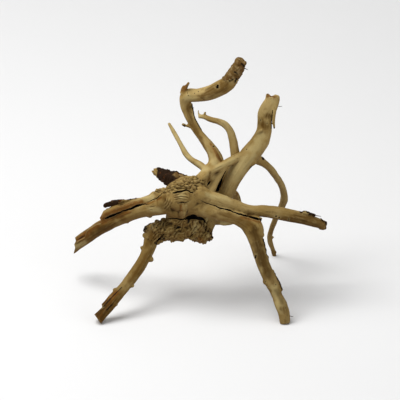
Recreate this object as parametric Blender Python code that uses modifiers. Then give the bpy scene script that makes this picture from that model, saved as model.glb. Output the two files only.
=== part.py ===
"""A piece of driftwood: one debarked root crown with two burls, from which legs, arms and thin roots grow.

The roots are drawn on a sheet that leans back, as the piece is looked down on. Each point of a root says
how far across and how far up that sheet it lies, how far back it stands over the floor, and the root's
radius there.
"""

import math
import random

import bmesh
import bpy
from mathutils import Matrix, Vector

# Driving sizes. Lengths are in millimetres, and the piece is built in metres.
MM = 0.001
SHEET_LEAN = math.radians(26.0)  # how steeply the piece is looked down on
MIDDLE_BACK = 84.0  # the footprint's middle, behind the line of the two front feet
MIDDLE_ACROSS = 0.5
VOXEL = 1.5  # the grid on which the roots grow into one body
WELD = 0.001  # points of one shell that are closer than this are one point
SOFTEN_PASSES = 3
KEEP_FACES = 0.085  # share of the fine body's triangles that the solid keeps
FLOOR_CUT = 40.0  # depth of the block that planes the feet flat
SPREAD = 400.0  # wider than the whole piece
WOOD_COLOUR = (0.42, 0.31, 0.15, 1.0)
WOOD_ROUGHNESS = 0.62

# The two front legs and the two arms. Each point is (across, rise, back, radius).
LEFT_LEG = [
    (-44, 107, 62, 12), (-56, 99, 59, 10), (-61, 88, 54, 7.9), (-67, 75, 46, 7.0), (-76, 60, 36, 7.3),
    (-84, 49, 27, 7.0), (-92, 39, 19, 6.8), (-101, 29, 12, 7.2), (-110, 18, 5, 7.5), (-126, -1, -7, 7.4),
]
RIGHT_LEG = [
    (-14, 140, 48, 14), (6, 134.5, 44, 11), (18, 131, 42, 9), (34, 126.5, 41, 8.2), (50, 121, 41, 8.8),
    (62, 110, 39, 10), (68, 94, 31, 8.6), (73, 76, 24, 7.8), (79, 61, 17, 7.8), (84.5, 49, 12, 8.2),
    (89.5, 39, 8, 7.3), (92.5, 30, 5, 6.4), (97, 20, 1, 7.7), (100.5, 10, -2, 7.2), (102, -3, -6, 6.4),
]
RIGHT_ARM = [
    (-14, 154, 50, 15), (-2, 152, 48, 13), (10, 148, 48, 9.4), (26, 143.5, 49, 8.2), (40, 138.5, 51, 8),
    (52, 134, 52, 7.2), (64, 132, 54, 7.0), (76, 131.7, 56, 7.4), (91, 129.8, 59, 7.9), (106, 127, 62, 8),
    (121, 124, 65, 7.7), (136, 119.5, 67, 6.7), (150, 114, 69, 5.2),
]
LEFT_ARM = [
    (-32, 143, 50, 16), (-48, 140.5, 55, 13.8), (-64, 136.5, 63, 11.2), (-80, 131, 71, 9.6),
    (-98, 123, 82, 8.8), (-118, 113, 94, 8.4), (-135, 102, 104, 8.2), (-156, 87, 116, 8.0),
]

# What the left arm's split leaves: a slab over the split, and a thin shard of bark above that.
SPLIT_SLAB = [
    (-36, 151, 50, 10.5), (-54, 148, 57, 8.5), (-72, 143.5, 65, 6.8), (-90, 137, 74, 6.2),
    (-104, 131.5, 83, 5.8), (-114, 128, 90, 5.0),
]
BARK_SHARD = [(-64, 148, 68, 4), (-84, 146, 77, 3), (-100, 142.6, 86, 3), (-115, 138, 94, 2.2)]

# The trunk that stands behind the crown, and the strands that are grown to it.
TRUNK = [
    (2, 103, 72, 11), (7, 115, 75, 10.5), (18, 134, 80, 9.4), (31, 152, 84, 9), (39, 168, 88, 9.4),
    (49, 185.5, 93, 10.8), (61, 201, 99, 11.8), (71, 213.5, 104, 10.8), (76.5, 227, 108, 9.5),
    (77.5, 239, 112, 8.9), (79, 250, 116, 9.4), (84, 258, 118, 9.8), (87.5, 265, 119, 8.2),
    (88, 270.5, 120, 7.6),
]
TRUNK_BACK = [
    (-8, 142, 74, 13), (6, 152, 90, 10), (20, 165, 102, 9.4), (36, 179, 108, 8.6), (53, 193, 110, 7.6),
    (66, 205, 108, 6),
]
RIBBON = [
    (60, 202, 97, 6), (48, 197.5, 93, 5), (36, 191.2, 87, 5), (25, 185.5, 80, 4.6), (13, 180, 73, 4.4),
    (4, 173, 65, 5.2), (-4, 163, 57, 8),
]
RIBBON_LEG = [
    (29, 186, 82, 4.6), (23.5, 176, 78, 4.4), (18.5, 167, 73, 4.3), (13, 156, 63, 5), (6, 147, 55, 6),
]
CROOK = [
    (-8, 160, 62, 11), (3, 171, 69, 8), (11.5, 181, 78, 8), (17.5, 190, 86, 8.2), (16.5, 200, 92, 7.8),
    (10.5, 210, 97, 6.6), (2.5, 220, 102, 5.2), (-5, 230, 107, 4.8), (-11, 240, 111, 4.7),
    (-15, 250, 115, 5.2), (-17.5, 260, 117, 6.8), (-15.5, 269.5, 117, 8.3), (-4, 270.8, 114, 8.1),
    (10, 273, 109, 9), (22, 278.3, 104, 9.8), (33, 285, 99, 9.4), (40, 295, 96, 7.8), (46, 304, 94, 7.4),
    (49.5, 312.5, 93, 6),
]
CROOK_RIDGE = [
    (0, 228, 107, 2.2), (8, 217, 103, 3.6), (16, 206, 98, 4.2), (22, 197, 93, 5), (24, 187, 88, 5.6),
]

# Thin roots. The last point of the hanging root reaches the floor, so that it carries the piece behind.
LEFT_TENDRIL = [
    (8, 180, 78, 5.0), (1, 186.5, 85, 4.2), (-9, 193, 94, 3.6), (-16.5, 200, 103, 3.5),
    (-21.5, 209, 112, 3.2), (-27, 219.5, 122, 2.8), (-32.5, 229, 131, 2.3), (-37.5, 237.5, 138, 1.7),
]
MIDDLE_TENDRIL = [
    (44, 186, 98, 6.8), (42.5, 198, 104, 6), (41, 209, 110, 5.6), (39, 220, 116, 5), (36, 228.5, 122, 4.7),
    (30, 235.8, 128, 4.3), (22, 239.4, 134, 3.7), (12, 242, 140, 3.5), (5, 245, 144, 2.9),
    (-1.5, 245.5, 147, 2.4),
]
HANGING_ROOT = [
    (60, 199, 99, 8), (69, 194, 105, 6.2), (76, 190, 111, 4.9), (83, 184, 118, 4.5), (90, 175, 126, 4.2),
    (96, 166, 134, 4.3), (100, 156.5, 141, 4.4), (101, 147, 147, 4.6), (98.5, 138, 153, 4.3),
    (93, 128, 159, 3.7), (88.5, 118, 165, 3.4), (85, 108, 170, 3.3), (83.5, 99.5, 174, 3.3),
    (85.5, 91, 176.8, 3.0), (88, 84, 178.4, 2.8), (89.5, 76, 180, 2.6),
]
LOOP_ROOT = [
    (32, 160, 90, 6), (41, 152.5, 102, 4.8), (45.5, 144, 111, 4.2), (47, 132, 115, 4.0),
    (42, 122, 112, 3.6), (33, 118, 104, 3.1), (24, 118, 94, 3.1), (13, 120, 82, 5),
]
REAR_STUB = [
    (-14, 160, 62, 14), (-28, 167, 74, 11.5), (-38, 171.5, 86, 8.8), (-47, 176.5, 96, 6),
    (-55, 180, 105, 4.4),
]
LOW_STUB = [(-44, 112, 78, 9), (-56, 111.5, 90, 6.5), (-65, 110, 98, 3.4)]
CROWN_NECK = [(-20, 148, 52, 17), (-24, 130, 60, 17), (-26, 112, 66, 15)]
CROWN_BACK = [(-14, 150, 60, 16), (-2, 134, 72, 13), (8, 120, 76, 11)]

# Broken twigs and splinters that stand off the wood.
SPURS = {
    "crook_splinter": [(-20.5, 272, 115, 3.6), (-17.8, 279, 115, 2.6), (-13.4, 286.4, 114, 1.7)],
    "crook_prong": [(-21.5, 273, 116, 2.9), (-20.5, 279, 116, 2.4), (-19, 283, 117, 1.5)],
    "crook_twig": [(-12, 233.5, 109, 2.2), (-17, 234.5, 107, 1.5), (-21.5, 236, 105, 1.2)],
    "tendril_hook": [(0, 245, 146, 1.8), (-1.6, 249, 148, 1.3), (-2, 253.5, 150, 1.1)],
    "tendril_thorn": [(4.5, 245, 144, 1.9), (6.5, 251, 143, 1.1)],
    "trunk_splinter": [
        (90.5, 262, 114, 3.4), (89.8, 250, 109, 2.9), (89.2, 240, 106, 2.3), (89.7, 230.5, 104, 1.3),
    ],
    "trunk_tooth": [(81.5, 260, 120, 4), (81, 273, 121, 1.8)],
    "trunk_nub": [(66, 192, 92, 4), (60.5, 185.5, 90, 1.6)],
    "knot_ridge": [(66.8, 222.5, 104, 1.9), (71.2, 227.6, 100, 1.9), (75, 229.6, 99.5, 1.5)],
    "knot_lip": [(69.5, 220.5, 101, 1.6), (74.2, 222.8, 99.5, 1.7), (78, 226, 100, 1.3)],
    "leg_shoulder": [(57, 121, 41, 7), (67, 114, 38, 8.2), (69, 102, 34, 7.6)],
}

# Side buds, each (across, rise, back, radius): small knobs where a side root broke off and healed.
BUDS = [
    (-59, 74, 44, 3.4), (-66, 103, 60, 3.2), (-102, 37, 18, 3.2), (-81, 42, 20, 2.4), (-101, 20, 4, 2.4),
    (-70, 88, 52, 2.2), (-60, 127, 60, 3.6), (-87, 120, 76, 3.0), (-70, 150, 66, 2.6),
    (-52, 156, 54, 4.6), (75, 103, 33, 2.4), (80, 76, 22, 2.2), (97, 38, 6, 2.6), (106, 121, 58, 2.4),
    (87.6, 100.7, 174, 1.7), (90.6, 82.5, 178.4, 1.7),
]

# Burls: swellings over which knobs spiral. Half sizes are across, up the sheet, and along the sight.
UPPER_BURL = [
    {"middle": (-21, 151, 49), "half": (23, 21, 20), "knobs": 44},
    {"middle": (-38, 147, 54), "half": (14, 15, 15), "knobs": 20},
    {"middle": (-13, 164, 56), "half": (15, 9.5, 15), "knobs": 20},
    {"middle": (-27, 134, 51), "half": (17, 10, 14), "knobs": 18},
    {"middle": (-6, 140, 48), "half": (12, 12, 13), "knobs": 12},
    {"middle": (-21, 133, 43.5), "half": (5.2, 10, 13.5), "knobs": 0},
]
LOWER_BURL = [
    {"middle": (-30, 110, 60), "half": (22, 14, 17), "knobs": 34},
    {"middle": (-47, 108, 62), "half": (12, 13.5, 13), "knobs": 18},
    {"middle": (-10, 113, 62), "half": (16, 14, 14), "knobs": 24},
    {"middle": (2, 103, 68), "half": (12, 8.5, 13), "knobs": 22},
    {"middle": (-18, 123, 57), "half": (22, 9, 14), "knobs": 16},
]
KNOB_RADIUS = (2.8, 5.2)
KNOB_SINK = (0.80, 0.97)  # how far out a knob's middle lies, as a share of the swelling's half size
GOLDEN_ANGLE = math.pi * (3.0 - math.sqrt(5.0))

# Open cracks and hollows, each a gouge along the surface: (across, rise, back, radius), several radii deep.
GOUGE_DEPTH = 3.0
GOUGES = {
    "split": [
        (-118, 124, 87, 1.3), (-106, 127, 79, 1.9), (-92, 131.5, 71, 2.0), (-78, 136.5, 62, 1.7),
        (-64, 140.5, 54, 1.2), (-52, 146, 46, 1.1), (-43, 154, 39, 0.9),
    ],
    "shard_gap": [
        (-119, 134.2, 92, 1.3), (-109, 137, 86, 1.2), (-97, 140.3, 79, 0.9), (-84, 143.2, 72, 0.6),
    ],
    "fork_crack": [
        (2, 144, 37, 0.8), (16, 138.8, 38, 1.1), (32, 133.6, 40, 1.3), (46, 129, 42, 1.5),
        (60, 125.5, 45, 1.9), (71, 123, 48, 2.4),
    ],
    "crown_fold": [(-34, 154.5, 30, 1.2), (-24, 156.5, 28, 1.8), (-14, 155.5, 29, 1.5), (-7, 152, 32, 0.9)],
    "brow_fold": [(-30, 163, 40, 0.9), (-20, 165.5, 38, 1.4), (-10, 165, 40, 1.0)],
    "chin_fold": [(-26, 142, 29, 0.9), (-18, 143.5, 28, 1.3), (-10, 141, 31, 0.9)],
    "waist_fold": [
        (-44, 123, 46, 0.9), (-28, 122, 42, 1.3), (-14, 124.5, 41, 1.9), (2, 126, 46, 1.6),
        (10, 124, 53, 0.9),
    ],
    "leg_root_fold": [(-46, 106, 44, 1.2), (-48, 99, 42, 1.8), (-50, 93, 42, 1.2)],
    "ribbon_hollow": [(8.2, 162, 60, 1.0), (10.4, 165.3, 63, 1.7), (12.5, 169.5, 66, 1.0)],
    "ribbon_slot": [(19, 152, 70, 2.0), (23, 164, 78, 2.3), (27.5, 174, 82, 1.8), (33, 183, 84, 0.9)],
    "knot_hole": [(20.5, 281, 94, 1.6), (21, 281.5, 97, 1.4)],
    "leg_hole": [(66.5, 76.5, 16, 1.4), (67.5, 76.5, 20, 1.2)],
    "trunk_pith": [(85, 277, 119, 1.9), (84.8, 267.6, 117, 1.3)],
}

# Ends broken or sawn off straight: outlines on the sheet, cut right through along the line of sight.
SAWN = {
    "left_leg_end": {"outline": [(-133, 16.5), (-113, -11.5), (-140, -16)], "back": -8},
    "left_arm_end": {"outline": [(-150.5, 112), (-150.5, 74), (-170, 74), (-170, 112)], "back": 114},
    "leg_step": {"outline": [(-118, 21), (-117.6, 16.4), (-127.5, 7.2), (-136, 12)], "back": 0},
}
SAW_REACH = 30.0


def on_sheet(across, rise, back):
    """The point in the room that lies there on the leaning sheet, in millimetres."""
    height = rise / math.cos(SHEET_LEAN) - back * math.tan(SHEET_LEAN)
    return Vector((across - MIDDLE_ACROSS, back - MIDDLE_BACK, height))


def sheet_frame(middle=(0.0, 0.0, 0.0), half=(1.0, 1.0, 1.0)):
    """A frame there whose axes run across, along the line of sight and up the sheet, stretched to half."""
    lean = Matrix.Rotation(-SHEET_LEAN, 4, "X")
    across, up, deep = half
    return Matrix.Translation(Vector(middle) * MM) @ lean @ Matrix.Diagonal((across, deep, up, 1.0))


def shaped(name, body, collection):
    """The bmesh as an object of the collection."""
    mesh = bpy.data.meshes.new(name)
    body.to_mesh(mesh)
    body.free()
    obj = bpy.data.objects.new(name, mesh)
    collection.objects.link(obj)
    return obj


def solid_of(curve, frame):
    """A curve's mesh in the room, its caps welded to its sides."""
    line = bpy.data.objects.new(curve.name, curve)
    bpy.context.scene.collection.objects.link(line)
    line.matrix_world = frame
    graph = bpy.context.evaluated_depsgraph_get()
    body = bmesh.new()
    body.from_mesh(bpy.data.meshes.new_from_object(line.evaluated_get(graph)))
    body.transform(frame)
    bpy.data.objects.remove(line)
    bmesh.ops.remove_doubles(body, verts=body.verts, dist=WELD * MM)
    return body


def tube(name, route, collection, depth=1.0):
    """A root or a gouge: a tube on a smooth curve through the route, depth times as deep as it is wide."""
    curve = bpy.data.curves.new(name, "CURVE")
    curve.dimensions = "3D"
    curve.resolution_u = 5
    curve.bevel_depth = MM
    curve.bevel_resolution = 4
    curve.use_fill_caps = True
    frame = sheet_frame(half=(1.0, 1.0, depth))
    spline = curve.splines.new("BEZIER")
    spline.bezier_points.add(len(route) - 1)
    for point, (across, rise, back, radius) in zip(spline.bezier_points, route):
        point.co = frame.inverted() @ (on_sheet(across, rise, back) * MM)
        point.handle_left_type = point.handle_right_type = "AUTO"
        point.radius = radius
    return shaped(name, solid_of(curve, frame), collection)


def saw(name, outline, back, collection):
    """A flat outline on the sheet as a block that reaches either way along the line of sight."""
    curve = bpy.data.curves.new(name, "CURVE")
    curve.dimensions = "2D"
    curve.fill_mode = "BOTH"
    curve.extrude = SAW_REACH * MM
    rises = [rise for _, rise in outline]
    middle_rise = sum(rises) / len(rises)
    spline = curve.splines.new("POLY")
    spline.points.add(len(outline) - 1)
    spline.use_cyclic_u = True
    for point, (across, rise) in zip(spline.points, outline):
        point.co = ((across - MIDDLE_ACROSS) * MM, (rise - middle_rise) * MM, 0.0, 1.0)
    middle = on_sheet(MIDDLE_ACROSS, middle_rise, back)
    upright = Matrix.Rotation(math.radians(90.0), 4, "X")
    return shaped(name, solid_of(curve, sheet_frame(middle) @ upright), collection)


def swelling(name, middle, half, collection):
    """A rounded lump with the given half sizes across, up the sheet, and along the line of sight."""
    body = bmesh.new()
    bmesh.ops.create_icosphere(body, subdivisions=3, radius=MM)
    body.transform(sheet_frame(on_sheet(*middle), half))
    return shaped(name, body, collection)


def burl(name, middle, half, knobs, draw, collection):
    """A burl's swelling, and its knobs, which spiral over it from pole to pole in uneven sizes."""
    made = [swelling(name, middle, half, collection)]
    frame = sheet_frame(on_sheet(*middle), half)
    for i in range(knobs):
        pole = 1.0 - 2.0 * (i + 0.5) / knobs
        ring = math.sqrt(1.0 - pole * pole)
        turn = i * GOLDEN_ANGLE + draw.uniform(-0.5, 0.5)
        out = Vector((ring * math.cos(turn), ring * math.sin(turn), pole)) * draw.uniform(*KNOB_SINK)
        body = bmesh.new()
        bmesh.ops.create_icosphere(body, subdivisions=2, radius=draw.uniform(*KNOB_RADIUS) * MM)
        body.transform(Matrix.Translation(frame @ (out * MM)))
        made.append(shaped(f"{name}_knob", body, collection))
    return made


def joined(name, parts, collection):
    """The parts' closed shells in one mesh; they still run through each other until they are remeshed."""
    body = bmesh.new()
    for part in parts:
        body.from_mesh(part.data)
        bpy.data.objects.remove(part)
    return shaped(name, body, collection)


def weathered_wood():
    wood = bpy.data.materials.new("weathered_wood")
    wood.use_nodes = True
    shader = wood.node_tree.nodes["Principled BSDF"]
    shader.inputs["Base Color"].default_value = WOOD_COLOUR
    shader.inputs["Roughness"].default_value = WOOD_ROUGHNESS
    return wood


def grow_wood(collection):
    """All the wood above the floor as one body."""
    roots = {
        "left_leg": LEFT_LEG, "right_leg": RIGHT_LEG, "right_arm": RIGHT_ARM, "left_arm": LEFT_ARM,
        "split_slab": SPLIT_SLAB, "bark_shard": BARK_SHARD, "trunk": TRUNK, "trunk_back": TRUNK_BACK,
        "ribbon": RIBBON, "ribbon_leg": RIBBON_LEG, "crook": CROOK, "crook_ridge": CROOK_RIDGE,
        "left_tendril": LEFT_TENDRIL, "middle_tendril": MIDDLE_TENDRIL, "hanging_root": HANGING_ROOT,
        "loop_root": LOOP_ROOT, "rear_stub": REAR_STUB, "low_stub": LOW_STUB, "crown_neck": CROWN_NECK,
        "crown_back": CROWN_BACK,
    }
    parts = [tube(name, route, collection) for name, route in {**roots, **SPURS}.items()]
    for across, rise, back, radius in BUDS:
        parts.append(swelling("bud", (across, rise, back), (radius, radius, radius), collection))
    draw = random.Random(3)
    for lump in UPPER_BURL + LOWER_BURL:
        parts += burl("burl", **lump, draw=draw, collection=collection)
    return joined("driftwood", parts, collection)


def floor_block(collection):
    """The block under the floor that planes the three feet flat."""
    body = bmesh.new()
    bmesh.ops.create_cube(body, size=MM)
    size = Matrix.Diagonal((SPREAD, SPREAD, FLOOR_CUT, 1.0))
    body.transform(Matrix.Translation((0.0, 0.0, -FLOOR_CUT * MM / 2.0)) @ size)
    return shaped("floor_block", body, collection)


def cut(obj, cutter):
    step = obj.modifiers.new(cutter.name, "BOOLEAN")
    step.operation = "DIFFERENCE"
    step.solver = "MANIFOLD"
    step.object = cutter
    cutter.hide_render = True
    cutter.display_type = "WIRE"


def main():
    for obj in list(bpy.data.objects):
        bpy.data.objects.remove(obj)
    scene = bpy.context.scene.collection
    piece = bpy.data.collections.new("driftwood")
    cutters = bpy.data.collections.new("cutters")
    scene.children.link(piece)
    scene.children.link(cutters)

    gouges = [tube(name, route, cutters, GOUGE_DEPTH) for name, route in GOUGES.items()]
    ends = [saw(name, **end, collection=cutters) for name, end in SAWN.items()]
    wood = grow_wood(piece)
    wood.data.materials.append(weathered_wood())
    grown = wood.modifiers.new("grown_together", "REMESH")
    grown.mode = "VOXEL"
    grown.voxel_size = VOXEL * MM
    worn = wood.modifiers.new("worn_smooth", "SMOOTH")
    worn.factor = 0.5
    worn.iterations = SOFTEN_PASSES
    for cutter in gouges + ends:
        cut(wood, cutter)
    thinned = wood.modifiers.new("fewer_faces", "DECIMATE")
    thinned.ratio = KEEP_FACES
    cut(wood, floor_block(cutters))


main()
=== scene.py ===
import math
import random

import bpy
import numpy as np
from mathutils import Matrix, Vector, noise
from mathutils.bvhtree import BVHTree


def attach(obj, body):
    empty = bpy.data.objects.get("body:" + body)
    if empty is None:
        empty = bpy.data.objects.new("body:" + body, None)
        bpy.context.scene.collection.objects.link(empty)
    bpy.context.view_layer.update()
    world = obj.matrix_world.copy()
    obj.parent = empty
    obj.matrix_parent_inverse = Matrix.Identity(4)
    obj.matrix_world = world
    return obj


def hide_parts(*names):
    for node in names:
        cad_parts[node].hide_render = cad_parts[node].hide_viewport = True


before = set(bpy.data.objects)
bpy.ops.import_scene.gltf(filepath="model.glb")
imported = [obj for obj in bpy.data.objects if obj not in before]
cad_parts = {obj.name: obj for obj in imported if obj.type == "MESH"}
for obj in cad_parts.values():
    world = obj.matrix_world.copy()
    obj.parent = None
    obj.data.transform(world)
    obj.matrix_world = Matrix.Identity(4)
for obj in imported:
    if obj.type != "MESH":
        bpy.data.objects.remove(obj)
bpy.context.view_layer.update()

# The camera looks down on the piece, square to a sheet that leans back. The wood's roots are drawn on that
# sheet as (across, rise, back, radius) in millimetres. Back is the distance behind the front feet.
MM = 0.001
LEAN = math.radians(26.0)
MIDDLE_BACK = 84.0
MIDDLE_ACROSS = 0.5
VIEW_MIDDLE = (0.0, 145.2)
VIEW_SIZE = 480.0
CAMERA_REACH = 1500.0
SIGHT = Vector((0.0, math.cos(LEAN), -math.sin(LEAN)))
LEANING = Matrix.Rotation(-LEAN, 4, "X")


def on_sheet(across, rise, back):
    """The point in the room that lies there on the leaning sheet, in millimetres."""
    height = rise / math.cos(LEAN) - back * math.tan(LEAN)
    return Vector((across - MIDDLE_ACROSS, back - MIDDLE_BACK, height))


bpy.ops.object.camera_add(
    location=(on_sheet(*VIEW_MIDDLE, MIDDLE_BACK) - SIGHT * CAMERA_REACH) * MM,
    rotation=(math.pi / 2.0 - LEAN, 0.0, 0.0),
)
camera = bpy.context.object
camera.data.type = "ORTHO"
camera.data.ortho_scale = VIEW_SIZE * MM
bpy.context.scene.camera = camera

# A white floor runs up into a white wall behind, with one broad lamp high on the left, a weaker one on the
# right, and pale light all round.
FLOOR_HALF = 3.0
WALL_BACK = 1.8
WALL_TOP = 2.6
SWEEP = 0.9
STUDIO = (1.0, 1.0, 1.0, 1.0)
LAMPS = {
    "high_left": {"at": (-0.75, -0.05, 1.75), "size": 1.2, "watts": 34.0},
    "low_right": {"at": (1.3, -0.9, 0.7), "size": 1.2, "watts": 5.0},
}
LAMPS_AIM = Vector((0.0, 0.0, 0.13))
ROOM_LIGHT = 0.40
WHITE_PAINT = (0.78, 0.78, 0.78, 1.0)

bpy.ops.mesh.primitive_plane_add(size=2.0 * FLOOR_HALF)
floor = bpy.context.object
floor.name = "studio_floor"
bpy.ops.object.mode_set(mode="EDIT")
bpy.ops.mesh.select_all(action="DESELECT")
bpy.ops.object.mode_set(mode="OBJECT")
for edge in floor.data.edges:
    edge.select = all(floor.data.vertices[i].co.y > 0.0 for i in edge.vertices)
bpy.ops.object.mode_set(mode="EDIT")
bpy.ops.mesh.select_mode(type="EDGE")
bpy.ops.transform.translate(value=(0.0, WALL_BACK - FLOOR_HALF, 0.0))
bpy.ops.mesh.extrude_region_move(TRANSFORM_OT_translate={"value": (0.0, 0.0, WALL_TOP)})
bpy.ops.object.mode_set(mode="OBJECT")
sweep = floor.modifiers.new("sweep", "BEVEL")
sweep.width = SWEEP
sweep.segments = 12
bpy.ops.object.modifier_apply(modifier="sweep")
bpy.ops.object.shade_smooth()
paint = bpy.data.materials.new("studio_white")
paint.use_nodes = True
paint.node_tree.nodes["Principled BSDF"].inputs["Base Color"].default_value = WHITE_PAINT
paint.node_tree.nodes["Principled BSDF"].inputs["Roughness"].default_value = 0.9
floor.data.materials.append(paint)

for name, lamp in LAMPS.items():
    place = Vector(lamp["at"])
    aim = (LAMPS_AIM - place).to_track_quat("-Z", "Y").to_euler()
    bpy.ops.object.light_add(type="AREA", location=place, rotation=aim)
    bpy.context.object.name = name
    bpy.context.object.data.size = lamp["size"]
    bpy.context.object.data.energy = lamp["watts"]
world = bpy.data.worlds.new("studio")
world.use_nodes = True
world.node_tree.nodes["Background"].inputs["Color"].default_value = STUDIO
world.node_tree.nodes["Background"].inputs["Strength"].default_value = ROOM_LIGHT
bpy.context.scene.world = world
bpy.context.scene.view_settings.view_transform = "Standard"

# The two front legs and the two arms: thick roots whose bark is gone. Each is a round limb on a smooth curve,
# and all the limbs grow into one body further down.
LEGS_AND_ARMS = {
    "left_leg": [
        (-44, 107, 62, 12), (-56, 99, 59, 10), (-61, 88, 54, 7.9), (-67, 75, 46, 7.0), (-76, 60, 36, 7.3),
        (-84, 49, 27, 7.0), (-92, 39, 19, 6.8), (-101, 29, 12, 7.2), (-110, 18, 5, 7.5),
        (-126, -1, -7, 7.4),
    ],
    "right_leg": [
        (-14, 140, 48, 14), (6, 134.5, 44, 11), (18, 131, 42, 9), (34, 126.5, 41, 8.2), (50, 121, 41, 8.8),
        (62, 110, 39, 10), (68, 94, 31, 8.6), (73, 76, 24, 7.8), (79, 61, 17, 7.8), (84.5, 49, 12, 8.2),
        (89.5, 39, 8, 7.3), (92.5, 30, 5, 6.4), (97, 20, 1, 7.7), (100.5, 10, -2, 7.2), (102, -3, -6, 6.4),
    ],
    "right_arm": [
        (-14, 154, 50, 15), (-2, 152, 48, 13), (10, 148, 48, 9.4), (26, 143.5, 49, 8.2), (40, 138.5, 51, 8),
        (52, 134, 52, 7.2), (64, 132, 54, 7.0), (76, 131.7, 56, 7.4), (91, 129.8, 59, 7.9),
        (106, 127, 62, 8), (121, 124, 65, 7.7), (136, 119.5, 67, 6.7), (150, 114, 69, 5.2),
    ],
    "left_arm": [
        (-32, 143, 50, 16), (-48, 140.5, 55, 13.8), (-64, 136.5, 63, 11.2), (-80, 131, 71, 9.6),
        (-98, 123, 82, 8.8), (-118, 113, 94, 8.4), (-135, 102, 104, 8.2), (-156, 87, 116, 8.0),
    ],
}
CURVE_STEPS = 8
WELD = 0.001 * MM
limbs = {}
shells = []


def smooth_curve(name, route, place):
    """A curve object through the route, in the given place, thickening and thinning with the radii."""
    curve = bpy.data.curves.new(name, "CURVE")
    curve.dimensions = "3D"
    curve.resolution_u = CURVE_STEPS
    curve.use_fill_caps = True
    spline = curve.splines.new("BEZIER")
    spline.bezier_points.add(len(route) - 1)
    for point, (across, rise, back, radius) in zip(spline.bezier_points, route):
        point.co = place.inverted() @ (on_sheet(across, rise, back) * MM)
        point.handle_left_type = point.handle_right_type = "AUTO"
        point.radius = radius
    obj = bpy.data.objects.new(name, curve)
    bpy.context.collection.objects.link(obj)
    obj.matrix_world = place
    return obj


def middle_line(obj, route):
    """The points of a curve's middle line, and the root's radius at each, in millimetres."""
    line = obj.to_mesh()
    points = np.array([obj.matrix_world @ vertex.co for vertex in line.vertices]) / MM
    obj.to_mesh_clear()
    steps = np.arange(len(points)) / CURVE_STEPS
    return points, np.interp(steps, range(len(route)), [radius for *_, radius in route])


def close_up(obj):
    """Turns a curve into a closed mesh in the room's own measures, with its doubled points merged."""
    bpy.ops.object.select_all(action="DESELECT")
    obj.select_set(True)
    bpy.context.view_layer.objects.active = obj
    bpy.ops.object.convert(target="MESH")
    bpy.ops.object.transform_apply(location=True, rotation=True, scale=True)
    bpy.ops.object.mode_set(mode="EDIT")
    bpy.ops.mesh.select_all(action="SELECT")
    bpy.ops.mesh.remove_doubles(threshold=WELD)
    bpy.ops.mesh.normals_make_consistent(inside=False)
    bpy.ops.object.mode_set(mode="OBJECT")


def tube(name, route, depth=1.0, sides=6):
    """A tube along the route as a closed mesh, depth times as deep along the line of sight as it is wide."""
    obj = smooth_curve(name, route, LEANING @ Matrix.Diagonal((1.0, depth, 1.0, 1.0)))
    line = middle_line(obj, route)
    obj.data.bevel_depth = MM
    obj.data.bevel_resolution = sides
    close_up(obj)
    return obj, line


def grow(roots):
    """Adds those roots to the wood, each a name with its route."""
    for name, route in roots.items():
        shell, limbs[name] = tube(name, route)
        shells.append(shell)


grow(LEGS_AND_ARMS)

# What the left arm's lengthwise split leaves: a slab of heartwood over the split, and over that a thin shard
# that still carries its bark.
SPLIT_ARM = {
    "split_slab": [
        (-36, 151, 50, 10.5), (-54, 148, 57, 8.5), (-72, 143.5, 65, 6.8), (-90, 137, 74, 6.2),
        (-104, 131.5, 83, 5.8), (-114, 128, 90, 5.0),
    ],
    "bark_shard": [(-64, 148, 68, 4), (-84, 146, 77, 3), (-100, 142.6, 86, 3), (-115, 138, 94, 2.2)],
    "slab_end": [(-106, 130.5, 84, 5.2), (-113.5, 126.5, 88, 5.0), (-118, 122, 90, 3.2)],
}
grow(SPLIT_ARM)

# The trunk stands behind the crown. A ribbon of wood is grown to its front and forks at the bottom, with a
# deep gap between it and the trunk, and a darker strand behind closes the gap.
TRUNK_AND_RIBBON = {
    "trunk": [
        (2, 103, 72, 11), (7, 115, 75, 10.5), (18, 134, 80, 9.4), (31, 152, 84, 9), (39, 168, 88, 9.4),
        (49, 185.5, 93, 10.8), (61, 201, 99, 11.8), (71, 213.5, 104, 10.8), (76.5, 227, 108, 9.5),
        (77.5, 239, 112, 8.9), (79, 250, 116, 9.4), (84, 258, 118, 9.8), (87.5, 265, 119, 8.2),
        (88, 270.5, 120, 7.6),
    ],
    "trunk_back": [
        (-8, 142, 74, 13), (6, 152, 90, 10), (20, 165, 102, 9.4), (36, 179, 108, 8.6), (53, 193, 110, 7.6),
        (66, 205, 108, 6),
    ],
    "ribbon": [
        (60, 202, 97, 6), (48, 197.5, 93, 5), (36, 191.2, 87, 5), (25, 185.5, 80, 4.6), (13, 180, 73, 4.4),
        (4, 173, 65, 5.2), (-4, 163, 57, 8),
    ],
    "ribbon_leg": [
        (29, 186, 82, 4.6), (23.5, 176, 78, 4.4), (18.5, 167, 73, 4.3), (13, 156, 63, 5), (6, 147, 55, 6),
    ],
    "ribbon_web": [(26, 181.5, 84, 4.0), (17, 175, 78, 5.0), (9, 168, 70, 5.5), (4, 162, 64, 5.0)],
}
grow(TRUNK_AND_RIBBON)

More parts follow.
